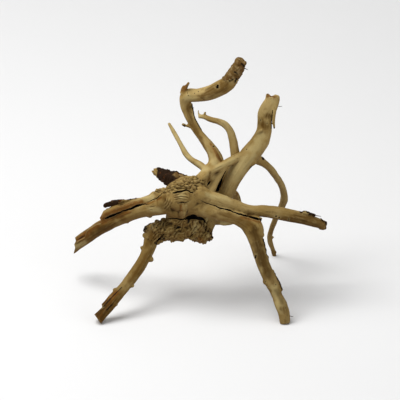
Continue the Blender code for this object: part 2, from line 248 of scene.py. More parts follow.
# The crook climbs beside the trunk, thins, and bends over sharply into a thick tip that keeps its bark. A
# ridge of old bark runs up its inner side.
CROOK_AND_RIDGE = {
    "crook": [
        (-8, 160, 62, 11), (3, 171, 69, 8), (11.5, 181, 78, 8), (17.5, 190, 86, 8.2), (16.5, 200, 92, 7.8),
        (10.5, 210, 97, 6.6), (2.5, 220, 102, 5.2), (-5, 230, 107, 4.8), (-11, 240, 111, 4.7),
        (-15, 250, 115, 5.2), (-17.5, 260, 117, 6.8), (-15.5, 269.5, 117, 8.3), (-4, 270.8, 114, 8.1),
        (10, 273, 109, 9), (22, 278.3, 104, 9.8), (33, 285, 99, 9.4), (40, 295, 96, 7.8),
        (46, 304, 94, 7.4), (49.5, 312.5, 93, 6),
    ],
    "crook_ridge": [
        (0, 228, 107, 2.2), (8, 217, 103, 3.6), (16, 206, 98, 4.2), (22, 197, 93, 5), (24, 187, 88, 5.6),
    ],
    "crook_edge": [
        (-9.8, 261, 116, 1.2), (-8.6, 252, 114, 1.4), (-6.5, 243, 111, 1.3), (-2.5, 236, 109, 1.2),
        (1.5, 229, 107, 1.4),
    ],
}
grow(CROOK_AND_RIDGE)

# Thin roots, pale and smooth, that curl in the air. The hanging root comes down behind to the floor, and the
# piece stands on its tip and on the two front feet.
THIN_ROOTS = {
    "left_tendril": [
        (8, 180, 78, 5.0), (1, 186.5, 85, 4.2), (-9, 193, 94, 3.6), (-16.5, 200, 103, 3.5),
        (-21.5, 209, 112, 3.2), (-27, 219.5, 122, 2.8), (-32.5, 229, 131, 2.3), (-37.5, 237.5, 138, 1.7),
    ],
    "middle_tendril": [
        (44, 186, 98, 6.8), (42.5, 198, 104, 6), (41, 209, 110, 5.6), (39, 220, 116, 5),
        (36, 228.5, 122, 4.7), (30, 235.8, 128, 4.3), (22, 239.4, 134, 3.7), (12, 242, 140, 3.5),
        (5, 245, 144, 2.9), (-1.5, 245.5, 147, 2.4),
    ],
    "hanging_root": [
        (60, 199, 99, 8), (69, 194, 105, 6.2), (76, 190, 111, 4.9), (83, 184, 118, 4.5),
        (90, 175, 126, 4.2), (96, 166, 134, 4.3), (100, 156.5, 141, 4.4), (101, 147, 147, 4.6),
        (98.5, 138, 153, 4.3), (93, 128, 159, 3.7), (88.5, 118, 165, 3.4), (85, 108, 170, 3.3),
        (83.5, 99.5, 174, 3.3), (85.5, 91, 176.8, 3.0), (88, 84, 178.4, 2.8), (89.5, 76, 180, 2.6),
    ],
    "loop_root": [
        (32, 160, 90, 6), (41, 152.5, 102, 4.8), (45.5, 144, 111, 4.2), (47, 132, 115, 4.0),
        (42, 122, 112, 3.6), (33, 118, 104, 3.1), (24, 118, 94, 3.1), (13, 120, 82, 5),
    ],
}
grow(THIN_ROOTS)

# Two stubs of broken roots behind the burls, and the heart of the root crown that joins everything.
STUBS_AND_CROWN = {
    "rear_stub": [
        (-14, 160, 62, 14), (-28, 167, 74, 11.5), (-38, 171.5, 86, 8.8), (-47, 176.5, 96, 6),
        (-55, 180, 105, 4.4),
    ],
    "low_stub": [(-44, 112, 78, 9), (-56, 111.5, 90, 6.5), (-65, 110, 98, 3.4)],
    "crown_neck": [(-20, 148, 52, 17), (-24, 130, 60, 17), (-26, 112, 66, 15)],
    "crown_back": [(-14, 150, 60, 16), (-2, 134, 72, 13), (8, 120, 76, 11)],
}
grow(STUBS_AND_CROWN)

# Broken twigs and splinters that stand off the wood, too stout to be bark or fibre, and the small healed
# knobs where side roots broke off.
SPURS = {
    "crook_splinter": [(-20.5, 272, 115, 3.6), (-17.8, 279, 115, 2.6), (-13.4, 286.4, 114, 1.7)],
    "crook_prong": [(-21.5, 273, 116, 2.9), (-20.5, 279, 116, 2.4), (-19, 283, 117, 1.5)],
    "crook_twig": [(-12, 233.5, 109, 2.2), (-17, 234.5, 107, 1.5), (-21.5, 236, 105, 1.2)],
    "tendril_hook": [(0, 245, 146, 1.8), (-1.6, 249, 148, 1.3), (-2, 253.5, 150, 1.1)],
    "tendril_thorn": [(4.5, 245, 144, 1.9), (6.5, 251, 143, 1.1)],
    "trunk_splinter": [
        (89.9, 262, 114, 3.4), (88.9, 250, 109, 2.9), (88.2, 240, 106, 2.2), (89.1, 230.5, 104, 1.2),
    ],
    "trunk_tooth": [(81.5, 260, 120, 4), (81, 273, 121, 1.8)],
    "trunk_nub": [(66, 192, 92, 4), (60.5, 185.5, 90, 1.6)],
    "knot_ridge": [(66.8, 222.5, 104, 1.9), (71.2, 227.6, 100, 1.9), (75, 229.6, 99.5, 1.5)],
    "knot_lip": [(69.5, 220.5, 101, 1.6), (74.2, 222.8, 99.5, 1.7), (78, 226, 100, 1.3)],
    "leg_shoulder": [(57, 121, 41, 7), (67, 114, 38, 8.2), (69, 102, 34, 7.6)],
    "fork_web": [(56, 126, 47, 2.5), (64, 124, 46, 3), (70, 122.4, 45, 3.2), (74, 121.2, 44, 2.8)],
    "stub_flap": [(-44.5, 169, 86, 1.6), (-41.8, 165, 84, 2.3), (-40, 162.6, 82, 1.8)],
    "arm_flake": [(123, 130.4, 64, 1.6), (131, 129.0, 65, 1.6), (138.5, 126.8, 66, 1.0)],
    "arm_end_lip": [(145, 113.5, 68, 4.8), (149.5, 110.8, 69, 2.6)],
}
BUDS = [
    (-59, 74, 44, 3.4), (-66, 103, 60, 3.2), (-102, 37, 18, 3.2), (-81, 42, 20, 2.4), (-101, 20, 4, 2.4),
    (-70, 88, 52, 2.2), (-60, 127, 60, 3.6), (-87, 120, 76, 3.0), (-71, 149, 66, 2.4),
    (-51, 155.5, 54, 4.0), (-63, 99.8, 51, 1.5), (-59.5, 97.6, 50, 1.6), (-55.5, 95.2, 50, 1.5),
    (79.5, 47.5, 12, 4.4), (75, 103, 33, 2.4), (80, 76, 22, 2.2), (96.4, 38, 6, 2.1), (106, 121, 58, 2.4),
    (87.6, 100.7, 174, 1.7), (90.6, 82.5, 178.4, 1.7),
]
grow(SPURS)


def lump(name, middle, half):
    """A rounded lump at that place on the sheet, with its half sizes across, up it and along the sight."""
    bpy.ops.mesh.primitive_ico_sphere_add(subdivisions=3, radius=MM)
    obj = bpy.context.object
    obj.name = name
    across, up, deep = half
    place = Matrix.Translation(on_sheet(*middle) * MM) @ LEANING
    obj.matrix_world = place @ Matrix.Diagonal((across, deep, up, 1.0))
    bpy.ops.object.transform_apply(location=True, rotation=True, scale=True)
    shells.append(obj)


for across, rise, back, radius in BUDS:
    lump("bud", (across, rise, back), (radius, radius, radius))

# The two burls: swellings where the root's fibres grew in knots. The upper one is rounder, with folds laid
# over each other, and the lower one is a contorted mass with a ragged underside.
UPPER_BURL = [
    {"middle": (-21, 151, 49), "half": (23, 21, 20)},
    {"middle": (-38, 147, 54), "half": (14, 15, 15)},
    {"middle": (-13, 164, 56), "half": (15, 9.5, 15)},
    {"middle": (-27, 134, 51), "half": (17, 10, 14)},
    {"middle": (-6, 140, 48), "half": (12, 12, 13)},
    {"middle": (-21, 132.5, 43.5), "half": (5.2, 10, 13.5)},
    {"middle": (-11, 167.8, 57), "half": (9, 7.8, 10)},
]
LOWER_BURL = [
    {"middle": (-30, 110, 60), "half": (22, 14, 17), "knobs": 34},
    {"middle": (-47, 108, 62), "half": (12, 13.5, 13), "knobs": 18},
    {"middle": (-10, 113, 62), "half": (16, 14, 14), "knobs": 24},
    {"middle": (2, 103, 68), "half": (12, 8.5, 13), "knobs": 22},
    {"middle": (-18, 123, 57), "half": (22, 9, 14), "knobs": 16},
]
KNOB_RADIUS = (2.8, 5.2)
KNOB_SINK = (0.80, 0.97)
KNOB_SCATTER = 0.5
GOLDEN_ANGLE = math.pi * (3.0 - math.sqrt(5.0))
draw = random.Random(3)
for swelling in UPPER_BURL:
    lump("upper_burl", swelling["middle"], swelling["half"])
for swelling in LOWER_BURL:
    lump("lower_burl", swelling["middle"], swelling["half"])
    for i in range(swelling["knobs"]):
        pole = 1.0 - 2.0 * (i + 0.5) / swelling["knobs"]
        ring = math.sqrt(1.0 - pole * pole)
        turn = i * GOLDEN_ANGLE + draw.uniform(-KNOB_SCATTER, KNOB_SCATTER)
        out = Vector((ring * math.cos(turn), ring * math.sin(turn), pole)) * draw.uniform(*KNOB_SINK)
        half = Vector([swelling["half"][k] for k in (0, 2, 1)])
        radius = draw.uniform(*KNOB_RADIUS)
        bpy.ops.mesh.primitive_ico_sphere_add(
            subdivisions=2, radius=radius * MM,
            location=(on_sheet(*swelling["middle"]) + LEANING @ (out * half)) * MM,
        )
        bpy.ops.object.transform_apply(location=True, rotation=True, scale=True)
        shells.append(bpy.context.object)

# The shells grow into one skin, as the roots of one tree do: they are joined, laid on a fine grid, and
# smoothed so that every root runs out of its neighbour in a soft web.
FINE_GRID = 0.95
SOFTENING = 0.5
SOFT_ROUNDS = 8


def joined(pieces, name):
    """The pieces as one object of that name."""
    bpy.ops.object.select_all(action="DESELECT")
    for piece in pieces:
        piece.select_set(True)
    bpy.context.view_layer.objects.active = pieces[0]
    bpy.ops.object.join()
    whole = bpy.context.object
    whole.name = whole.data.name = name
    return whole


wood = joined(shells, "driftwood_grown")
skin = wood.modifiers.new("one_skin", "REMESH")
skin.mode = "VOXEL"
skin.voxel_size = FINE_GRID * MM
bpy.ops.object.modifier_apply(modifier="one_skin")
web = wood.modifiers.new("soft_web", "SMOOTH")
web.factor = SOFTENING
web.iterations = SOFT_ROUNDS
bpy.ops.object.modifier_apply(modifier="soft_web")

# Wood grows along its roots. For each point of the skin this finds the root that it belongs to, where round
# it and how far along it, so that grain, flutes and drying cracks can follow that root through every bend.
ROOT_REACH = 14.0
SURE_WITHIN = 3.5
NEXT_ROOT = 500.0


def spots_of(obj):
    """The mesh's points, in millimetres."""
    spots = np.empty(len(obj.data.vertices) * 3)
    obj.data.vertices.foreach_get("co", spots)
    return spots.reshape(-1, 3) / MM


def normals_of(obj):
    """The direction that the surface faces at each of the mesh's points."""
    facing = np.empty(len(obj.data.vertices) * 3)
    obj.data.vertex_normals.foreach_get("vector", facing)
    return facing.reshape(-1, 3)


def move_to(obj, spots):
    """Puts the mesh's points at those places, in millimetres."""
    obj.data.vertices.foreach_set("co", (spots * MM).ravel())
    obj.data.update()


def eased(values, low, high):
    """0 up to low, 1 from high, and a soft step between them."""
    share = np.clip((values - low) / (high - low), 0.0, 1.0)
    return share * share * (3.0 - 2.0 * share)


def uneven(spots, size, octaves=3):
    """Smooth noise between about -1 and 1 at each spot, in lumps of that size.

    Spots moved far away, as by 300 millimetres, give a pattern of their own.
    """
    return np.array([noise.fractal(spot, 1.0, 2.0, octaves) for spot in (spots / size).tolist()])


def carried_frame(line):
    """The directions of a line's stretches, and two directions square to each, carried on without twist."""
    runs = np.diff(line, axis=0)
    runs /= np.linalg.norm(runs, axis=1)[:, None]
    side = np.cross(runs[0], (0.3, 0.2, 1.0))
    sides = [side / np.linalg.norm(side)]
    for run in runs[1:]:
        side = sides[-1] - run * (sides[-1] @ run)
        sides.append(side / np.linalg.norm(side))
    sides = np.array(sides)
    return runs, sides, np.cross(runs, sides)


def along_root(spots, line, radii):
    """For each spot: how far it is outside the root, and its place across, over and along the root."""
    runs, sides, overs = carried_frame(line)
    lengths = np.linalg.norm(np.diff(line, axis=0), axis=1)
    starts = np.cumsum(lengths) - lengths
    nearest = np.full(len(spots), np.inf)
    place = np.zeros((len(spots), 3))
    for k, length in enumerate(lengths):
        offset = spots - line[k]
        run = np.clip(offset @ runs[k], 0.0, length)
        away = offset - run[:, None] * runs[k]
        outside = np.linalg.norm(away, axis=1) - radii[k] - (radii[k + 1] - radii[k]) * run / length
        closer = outside < nearest
        nearest[closer] = outside[closer]
        there = np.stack((away @ sides[k], away @ overs[k], starts[k] + offset @ runs[k]), axis=1)
        place[closer] = there[closer]
    return nearest, place


def grain_of(spots):
    """For each spot: its place in its root's grain, and how surely it belongs to that root alone."""
    nearest = np.full(len(spots), np.inf)
    second = np.full(len(spots), np.inf)
    grain = np.zeros((len(spots), 3))
    for number, (line, radii) in enumerate(limbs.values()):
        reach = radii.max() + ROOT_REACH
        close = np.flatnonzero(np.all((spots > line.min(0) - reach) & (spots < line.max(0) + reach), axis=1))
        outside, place = along_root(spots[close], line, radii)
        place[:, 2] += NEXT_ROOT * number
        closer = outside < nearest[close]
        second[close] = np.where(closer, nearest[close], np.minimum(second[close], outside))
        nearest[close[closer]] = outside[closer]
        grain[close[closer]] = place[closer]
    return grain, eased(second - nearest, 0.0, SURE_WITHIN)


def burl_share(spots, swellings, full=1.2, reach=1.55):
    """1 on a burl's swellings, falling to 0 where they have run out into the roots."""
    share = np.zeros(len(spots))
    for swelling in swellings:
        across, up, deep = swelling["half"]
        local = (spots - np.array(on_sheet(*swelling["middle"]))) @ np.array(LEANING.to_3x3())
        away = np.linalg.norm(local / (across, deep, up), axis=1)
        share = np.maximum(share, 1.0 - eased(away, full, reach))
    return share


def rise_of(spots):
    """How far up the leaning sheet each spot lies."""
    return spots @ (0.0, math.sin(LEAN), math.cos(LEAN)) + MIDDLE_BACK * math.sin(LEAN)


# The worn surface: broad dents everywhere, flutes and shallow drying cracks that run with the grain, and on
# the burls the folds of wood that grew over itself. A dip is (across, rise, reach, depth).
DENT = {"size": 15.0, "depth": 0.55}
FLUTE = {"size": 3.4, "stretch": 16.0, "depth": 0.34}
RIPPLE = {"size": 1.6, "stretch": 14.0, "depth": 0.13}
CHECK = {"size": 5.5, "stretch": 11.0, "depth": 0.75, "width": 0.075, "share": (0.05, 0.45)}
LAYERED_LUMPS = {"size": (8.6, 7.5, 4.0), "depth": 4.0, "level": 0.55, "warp": 2.6, "sharp": 0.7}
FOLDS = {"spacing": 3.6, "depth": 0.65, "warp": 3.4, "size": 11.0}
STRATA = {
    "spacing": 3.0, "depth": 0.65, "bow": 0.014, "middle": -22.5, "warp": 1.1,
    "across": (-31.0, -14.0, 2.0), "rise": (145.0, 153.0, 1.5),
}
RINGS = {
    "at": (-50.0, 148.0), "spacing": 3.1, "depth": 0.45, "from": (5.0, 18.0, 2.5),
    "rise": (128.0, 148.0, 3.0), "right_of": (-47.0, -40.0), "warp": 1.2,
}
CROWN_TOP = {"above": (151.0, 157.0), "left_of": (-7.0, 1.0), "or_above": (160.0, 168.0)}
BROW = {"below": (150.0, 156.0), "left_of": (-12.0, -4.0), "share": 0.15}
LOWER_PART = {"below": (120.0, 128.0), "right_of": (-60.0, -55.0)}
NOSE = {"at": (-20.0, 132.6), "half": (4.4, 9.5), "height": 2.3}
CLODS = {"size": (13.0, 11.0, 10.0), "depth": 2.3, "level": 0.40, "warp": 4.5, "sharp": 0.9}
WRINKLES = {"size": 11.0, "squeeze": (1.4, 1.0, 0.7), "depth": 1.2, "width": 0.26, "octaves": 2}
COILS = {"spacing": 4.6, "depth": 0.5, "turn": (0.70, -0.70), "warp": 7.0}
CRUMBS = {"size": 2.6, "depth": 0.40}
ARM_TOP = {"from": -99.0, "to": -59.0, "soft": 4.0, "depth": 2.8, "rise": (135.0, 160.0)}
BARK_RELIEF = {"thick": 0.8, "plates": 4.4, "rough": 1.1}
STUB_RELIEF = {"size": 3.6, "depth": 2.4}
BURL_CREST = [
    (-60, 164), (-46, 163), (-41.5, 160.3), (-35.6, 165.4), (-28.4, 169.8), (-21, 173.4), (-16.7, 174.5),
    (-10.2, 175.2), (-4.4, 172.7), (0.7, 169),
]
DIPS = [
    (-4.5, 159, 2.2, 1.6), (-25, 110.5, 4.5, 1.4), (-45, 101, 4.5, 3.0), (-9, 122, 6.5, 4.0),
    (2, 121, 4.5, 3.0), (6, 111.5, 2.6, 1.6), (-9, 103, 2.8, 1.6), (-38, 151, 3.0, 1.2),
    (-42, 118, 3.0, 1.4),
]

spots = spots_of(wood)
facing = normals_of(wood)
grain, sure = grain_of(spots)
upper = burl_share(spots, UPPER_BURL)
lower = burl_share(spots, LOWER_BURL)
lower *= 1.0 - eased(rise_of(spots), *LOWER_PART["below"])
lower *= eased(spots[:, 0], *LOWER_PART["right_of"])
smooth_wood = (1.0 - np.maximum(upper, lower)) * sure


def stretched(size, stretch):
    """The grain's places, squeezed along the root so that noise on them comes out in long streaks."""
    return grain * (1.0, 1.0, 1.0 / stretch), size


rise = rise_of(spots)
across = spots[:, 0] + MIDDLE_ACROSS
deep = (spots[:, 1] + MIDDLE_BACK) * math.cos(LEAN) - spots[:, 2] * math.sin(LEAN)

height = DENT["depth"] * uneven(spots, DENT["size"], 2)
height += FLUTE["depth"] * smooth_wood * uneven(*stretched(FLUTE["size"], FLUTE["stretch"]), 2)
height += RIPPLE["depth"] * smooth_wood * uneven(*stretched(RIPPLE["size"], RIPPLE["stretch"]), 1)
seam = np.abs(uneven(*stretched(CHECK["size"], CHECK["stretch"]), 2))
patchy = eased(uneven(spots + 300.0, 26.0, 2), *CHECK["share"])
height -= CHECK["depth"] * smooth_wood * patchy * (1.0 - eased(seam, 0.0, CHECK["width"]))

sheet = np.stack((across, deep, rise), axis=1)


def lumps(share, pattern, seed):
    """Rounded lumps with creases between them where the share is above nothing: heights in millimetres."""
    there = np.flatnonzero(share > 0.0)
    place = sheet[there] + seed
    warp = [pattern["warp"] * uneven(place + 50.0 * k, 9.0, 2) for k in range(3)]
    place = (place + np.stack(warp, axis=1)) / pattern["size"]
    cells = np.array([noise.voronoi(spot)[0][:2] for spot in place.tolist()])
    made = np.zeros(len(share))
    swell = (cells[:, 1] - cells[:, 0]) ** pattern["sharp"] - pattern["level"]
    made[there] = pattern["depth"] * share[there] * swell
    return made


def over_line(line):
    """How far each spot lies above a line on the sheet."""
    return rise - np.interp(across, *zip(*line))


def within(values, low, high, soft):
    """1 between two values, and 0 beyond a soft step on either side."""
    return eased(values, low - soft, low + soft) * (1.0 - eased(values, high - soft, high + soft))


front = facing @ np.array(SIGHT) < 0.25
over_crest = over_line(BURL_CREST)
crown_top = upper * eased(rise, *CROWN_TOP["above"])
crown_top *= 1.0 - eased(across, *CROWN_TOP["left_of"]) * (1.0 - eased(rise, *CROWN_TOP["or_above"]))
crown_top *= 1.0 - eased(over_crest, 0.0, 2.0)
height += lumps(crown_top, LAYERED_LUMPS, 0.0)
wavy = rise + FOLDS["warp"] * uneven(spots * (0.6, 1.0, 1.0) + 30.0, FOLDS["size"], 2)
height += FOLDS["depth"] * crown_top * np.sin(2.0 * math.pi * wavy / FOLDS["spacing"])
brow = upper * (1.0 - eased(rise, *BROW["below"])) * (1.0 - eased(across, *BROW["left_of"]))
height += lumps(BROW["share"] * brow, CLODS, 80.0)
bowed = rise + STRATA["bow"] * (across - STRATA["middle"]) ** 2
bowed += STRATA["warp"] * uneven(spots + 60.0, 7.0, 2)
banded = within(across, *STRATA["across"]) * within(rise, *STRATA["rise"]) * front
height += STRATA["depth"] * banded * np.sin(2.0 * math.pi * bowed / STRATA["spacing"])
from_rings = np.hypot(across - RINGS["at"][0], rise - RINGS["at"][1])
ringed = within(from_rings, *RINGS["from"]) * within(rise, *RINGS["rise"])
ringed *= eased(across, *RINGS["right_of"])
from_rings += RINGS["warp"] * uneven(spots, 6.0, 2)
height += RINGS["depth"] * ringed * front * np.sin(2.0 * math.pi * from_rings / RINGS["spacing"])

height += lumps(lower * (1.0 - 0.5 * eased(-facing[:, 2], 0.2, 0.8)), CLODS, 0.0)
wrinkle = np.abs(uneven(sheet * WRINKLES["squeeze"] + 210.0, WRINKLES["size"], WRINKLES["octaves"]))
patched = np.clip(0.6 + 1.2 * uneven(spots + 250.0, 14.0, 2), 0.15, 1.0)
height += WRINKLES["depth"] * lower * patched * (eased(wrinkle, 0.0, WRINKLES["width"]) - 0.6)
coil = across * COILS["turn"][0] + rise * COILS["turn"][1] + COILS["warp"] * uneven(spots + 210.0, 15.0, 2)
height += COILS["depth"] * lower * np.sin(2.0 * math.pi * coil / COILS["spacing"])
ragged = 0.2 + 0.8 * eased(-facing[:, 2], -0.2, 0.6)
height += CRUMBS["depth"] * lower * ragged * uneven(spots + 280.0, CRUMBS["size"], 2)
for across_dip, rise_dip, reach, depth in DIPS:
    away = np.hypot(across - across_dip, rise - rise_dip) / reach
    height -= depth * np.exp(-away * away) * front

# The left arm's outer end lost its upper half: a flat split face lies above a fibrous ridge. Behind the upper
# burl's top edge the rear stub starts a step lower.
SPLIT_FACE = {"depth": 1.6, "ridge": 0.7, "until": (-121.0, -117.0)}
ARM_RIDGE = [
    (-154, 92), (-147.7, 95.6), (-138.3, 100.6), (-137.1, 104.4), (-135.2, 108.5), (-132, 111.5),
    (-123.3, 116.3), (-113, 119.4),
]
STUB_STEP = {"depth": 2.6, "run": 11.0, "left_of": (-17.0, -13.5), "below": (187.0, 190.0)}

on_end = (1.0 - eased(across, *SPLIT_FACE["until"])) * front
over_ridge = over_line(ARM_RIDGE)
height -= SPLIT_FACE["depth"] * on_end * eased(over_ridge, 0.0, 1.0)
height += SPLIT_FACE["ridge"] * on_end * within(over_ridge, -1.6, 0.0, 0.6)
on_stub = eased(over_crest, -0.4, 0.6) * (1.0 - eased(across, *STUB_STEP["left_of"]))
on_stub *= 1.0 - eased(rise, *STUB_STEP["below"])
from_nose = (np.stack((across, rise), axis=1) - NOSE["at"]) / NOSE["half"]
height += NOSE["height"] * front * np.clip(1.0 - (from_nose ** 2).sum(axis=1), 0.0, 1.0)
up_sheet = facing @ (0.0, math.sin(LEAN), math.cos(LEAN))
worn_top = within(across, ARM_TOP["from"], ARM_TOP["to"], ARM_TOP["soft"])
worn_top *= (rise > ARM_TOP["rise"][0]) * (rise < ARM_TOP["rise"][1])
height -= ARM_TOP["depth"] * worn_top * eased(up_sheet, 0.1, 0.7)
height -= STUB_STEP["depth"] * on_stub * (1.0 - eased(over_crest, 0.0, STUB_STEP["run"]))
height += STUB_RELIEF["depth"] * on_stub * uneven(spots + 520.0, STUB_RELIEF["size"], 3)

# Old bark that the water has not worn off: thin ragged plates on the rear stub, the crook's tip, the low
# stub and the shard, and strips along the right leg and arm. A mark is (across, rise, radius) as it is seen
# from the front, or (across, rise, back, radius) where it goes round a root.
BARK = [
    [(-26, 170, 84, 19), (-40, 172, 90, 16), (-50, 178, 98, 9)], [(-60, 112, 94, 5), (-67, 110, 100, 5)],
    [(-116, 138, 94, 5), (-100, 142.6, 86, 4.6), (-95, 143.8, 83, 3.2)],
    [(-97, 144.6, 82, 2.4), (-88, 145.4, 79, 1.9), (-77, 148.4, 74, 1.6)],
    [(76.5, 97, 30, 2.0), (80, 85, 27, 2.0), (82.5, 74, 24, 2.0)],
    [(88.5, 60, 17, 1.6), (91.5, 53, 14, 1.6)], [(95, 47, 11, 2.2), (98, 38, 8, 2.4)],
    [(121, 131.2, 64, 2.2), (131, 129.4, 65, 2.4), (139.5, 126.6, 66, 2.0)], [(-20, 234, 106, 3)],
    [(150, 117, 68, 3.0), (152, 113, 70, 4.0)], [(76, 195, 2.2)], [(7, 252, 143, 1.6)],
    [(14.5, 101, 1.6), (12, 96.5, 1.4)],
]
TIP_BARK = [
    [(34.5, 293, 97, 8.0), (42, 300, 95, 10.5), (50, 313, 93, 10)], [(44, 287.5, 96, 3.0)],
    [(-29, 176.5, 4.0), (-22.5, 173.5, 4.5)],
]
STUB_TIP = (-52.8, -50.2)
STUB_BARK = {"across": (-62.0, -15.5, 0.8), "rise": (156.0, 188.0, 2.0)}
BURL_TOP = {"across": (-60.0, -14.0, 2.0), "rise": (140.0, 150.0)}
WIDEST_EDGE = 5.0


def seen(across, rise):
    """How far back the wood's surface lies where the camera sees it there, in millimetres."""
    start = (on_sheet(across, rise, MIDDLE_BACK) - SIGHT * CAMERA_REACH) * MM
    found, place, _, _ = wood.ray_cast(start, SIGHT)
    return place.y / MM + MIDDLE_BACK if found else MIDDLE_BACK


def placed(point):
    """A mark's point with its depth: its own, or else that of the surface that is seen there."""
    return point if len(point) == 4 else (*point[:2], seen(*point[:2]), point[2])


def distance_to(spots, points):
    """How far each spot lies from a line through the points, less the line's radius there."""
    points = np.array(points, float)
    if len(points) == 1:
        return np.linalg.norm(spots - points[0, :3], axis=1) - points[0, 3]
    nearest = np.full(len(spots), np.inf)
    for start, end in zip(points, points[1:]):
        run = end[:3] - start[:3]
        share = np.clip((spots - start[:3]) @ run / (run @ run), 0.0, 1.0)
        away = spots - start[:3] - share[:, None] * run
        nearest = np.minimum(nearest, np.linalg.norm(away, axis=1) - start[3] - share * (end[3] - start[3]))
    return nearest


def marked(spots, marks, rough, softness=0.3):
    """0 to 1 for each spot: how strongly any of the marks covers it, with a ragged edge."""
    share = np.zeros(len(spots))
    for mark in marks:
        route = [placed(point) for point in mark]
        points = [(*on_sheet(*point[:3]), point[3]) for point in route]
        edge = min(max(point[3] for point in points), WIDEST_EDGE)
        gap = distance_to(spots, points) / edge + rough
        share = np.maximum(share, 1.0 - eased(gap, -softness, softness))
    return share


def bark_on(spots):
    """0 to 1 for each spot: how surely bark covers it."""
    across = spots[:, 0] + MIDDLE_ACROSS
    rise = rise_of(spots)
    over_crest = rise - np.interp(across, *zip(*BURL_CREST))
    off_burl = np.maximum(eased(over_crest, -0.6, 0.6), 1.0 - within(across, *BURL_TOP["across"]))
    off_burl = np.maximum(off_burl, 1.0 - eased(rise, *BURL_TOP["rise"]))
    worn = 0.25 * uneven(spots + 400.0, 4.0, 3)
    bare_tip = (1.0 - eased(across + 7.0 * worn, *STUB_TIP)) * within(rise, 165.0, 195.0, 4.0)
    on_stub = eased(over_crest, -0.4, 0.6) * within(across, *STUB_BARK["across"])
    on_stub *= within(rise, *STUB_BARK["rise"])
    return np.maximum(marked(spots, BARK + TIP_BARK, worn), on_stub) * off_burl * (1.0 - bare_tip)


bark = bark_on(spots)
height *= 1.0 - 0.5 * bark
height += BARK_RELIEF["thick"] * eased(bark, 0.35, 0.6)
height += BARK_RELIEF["rough"] * bark * uneven(spots + 500.0, BARK_RELIEF["plates"], 3)
move_to(wood, spots + facing * height[:, None])

# Ends that broke or were cut off straight, and the three feet worn flat on the floor.
SAWN = {
    "left_leg_end": {"outline": [(-133, 16.5), (-113, -11.5), (-140, -16)], "back": -8},
    "left_arm_end": {
        "outline": [
            (-149.4, 112), (-149.9, 99.4), (-149, 96.2), (-150.9, 91.8), (-149.9, 88), (-151.5, 82),
            (-150, 74), (-172, 74), (-172, 112),
        ],
        "back": 114,
    },
    "leg_step": {"outline": [(-118, 21), (-117.6, 16.4), (-127.5, 7.2), (-136, 12)], "back": 0},
    "trunk_notch": {
        "outline": [(83.3, 277), (83.9, 271.0), (85.8, 270.0), (88.0, 270.6), (90.2, 272.0), (91, 277)],
        "back": 119,
    },
}
SAW_REACH = 30.0
FLOOR_CUT = 40.0
FLOOR_WIDE = 400.0


def cut(blade):
    """Takes the closed blade away from the wood."""
    bpy.context.view_layer.objects.active = wood
    step = wood.modifiers.new("cut", "BOOLEAN")
    step.operation = "DIFFERENCE"
    step.solver = "MANIFOLD"
    step.object = blade
    bpy.ops.object.modifier_apply(modifier="cut")
    bpy.data.objects.remove(blade)


for name, end in SAWN.items():
    curve = bpy.data.curves.new(name, "CURVE")
    curve.dimensions = "2D"
    curve.fill_mode = "BOTH"
    curve.extrude = SAW_REACH * MM
    middle_rise = sum(rise_there for _, rise_there in end["outline"]) / len(end["outline"])
    spline = curve.splines.new("POLY")
    spline.points.add(len(end["outline"]) - 1)
    spline.use_cyclic_u = True
    for point, (across_there, rise_there) in zip(spline.points, end["outline"]):
        point.co = ((across_there - MIDDLE_ACROSS) * MM, (rise_there - middle_rise) * MM, 0.0, 1.0)
    saw = bpy.data.objects.new(name, curve)
    bpy.context.collection.objects.link(saw)
    middle = on_sheet(MIDDLE_ACROSS, middle_rise, end["back"]) * MM
    saw.matrix_world = Matrix.Translation(middle) @ LEANING @ Matrix.Rotation(math.pi / 2.0, 4, "X")
    close_up(saw)
    cut(saw)
bpy.ops.mesh.primitive_cube_add(
    size=MM, location=(0.0, 0.0, -FLOOR_CUT * MM / 2.0), scale=(FLOOR_WIDE, FLOOR_WIDE, FLOOR_CUT)
)
bpy.ops.object.transform_apply(location=True, rotation=True, scale=True)
cut(bpy.context.object)

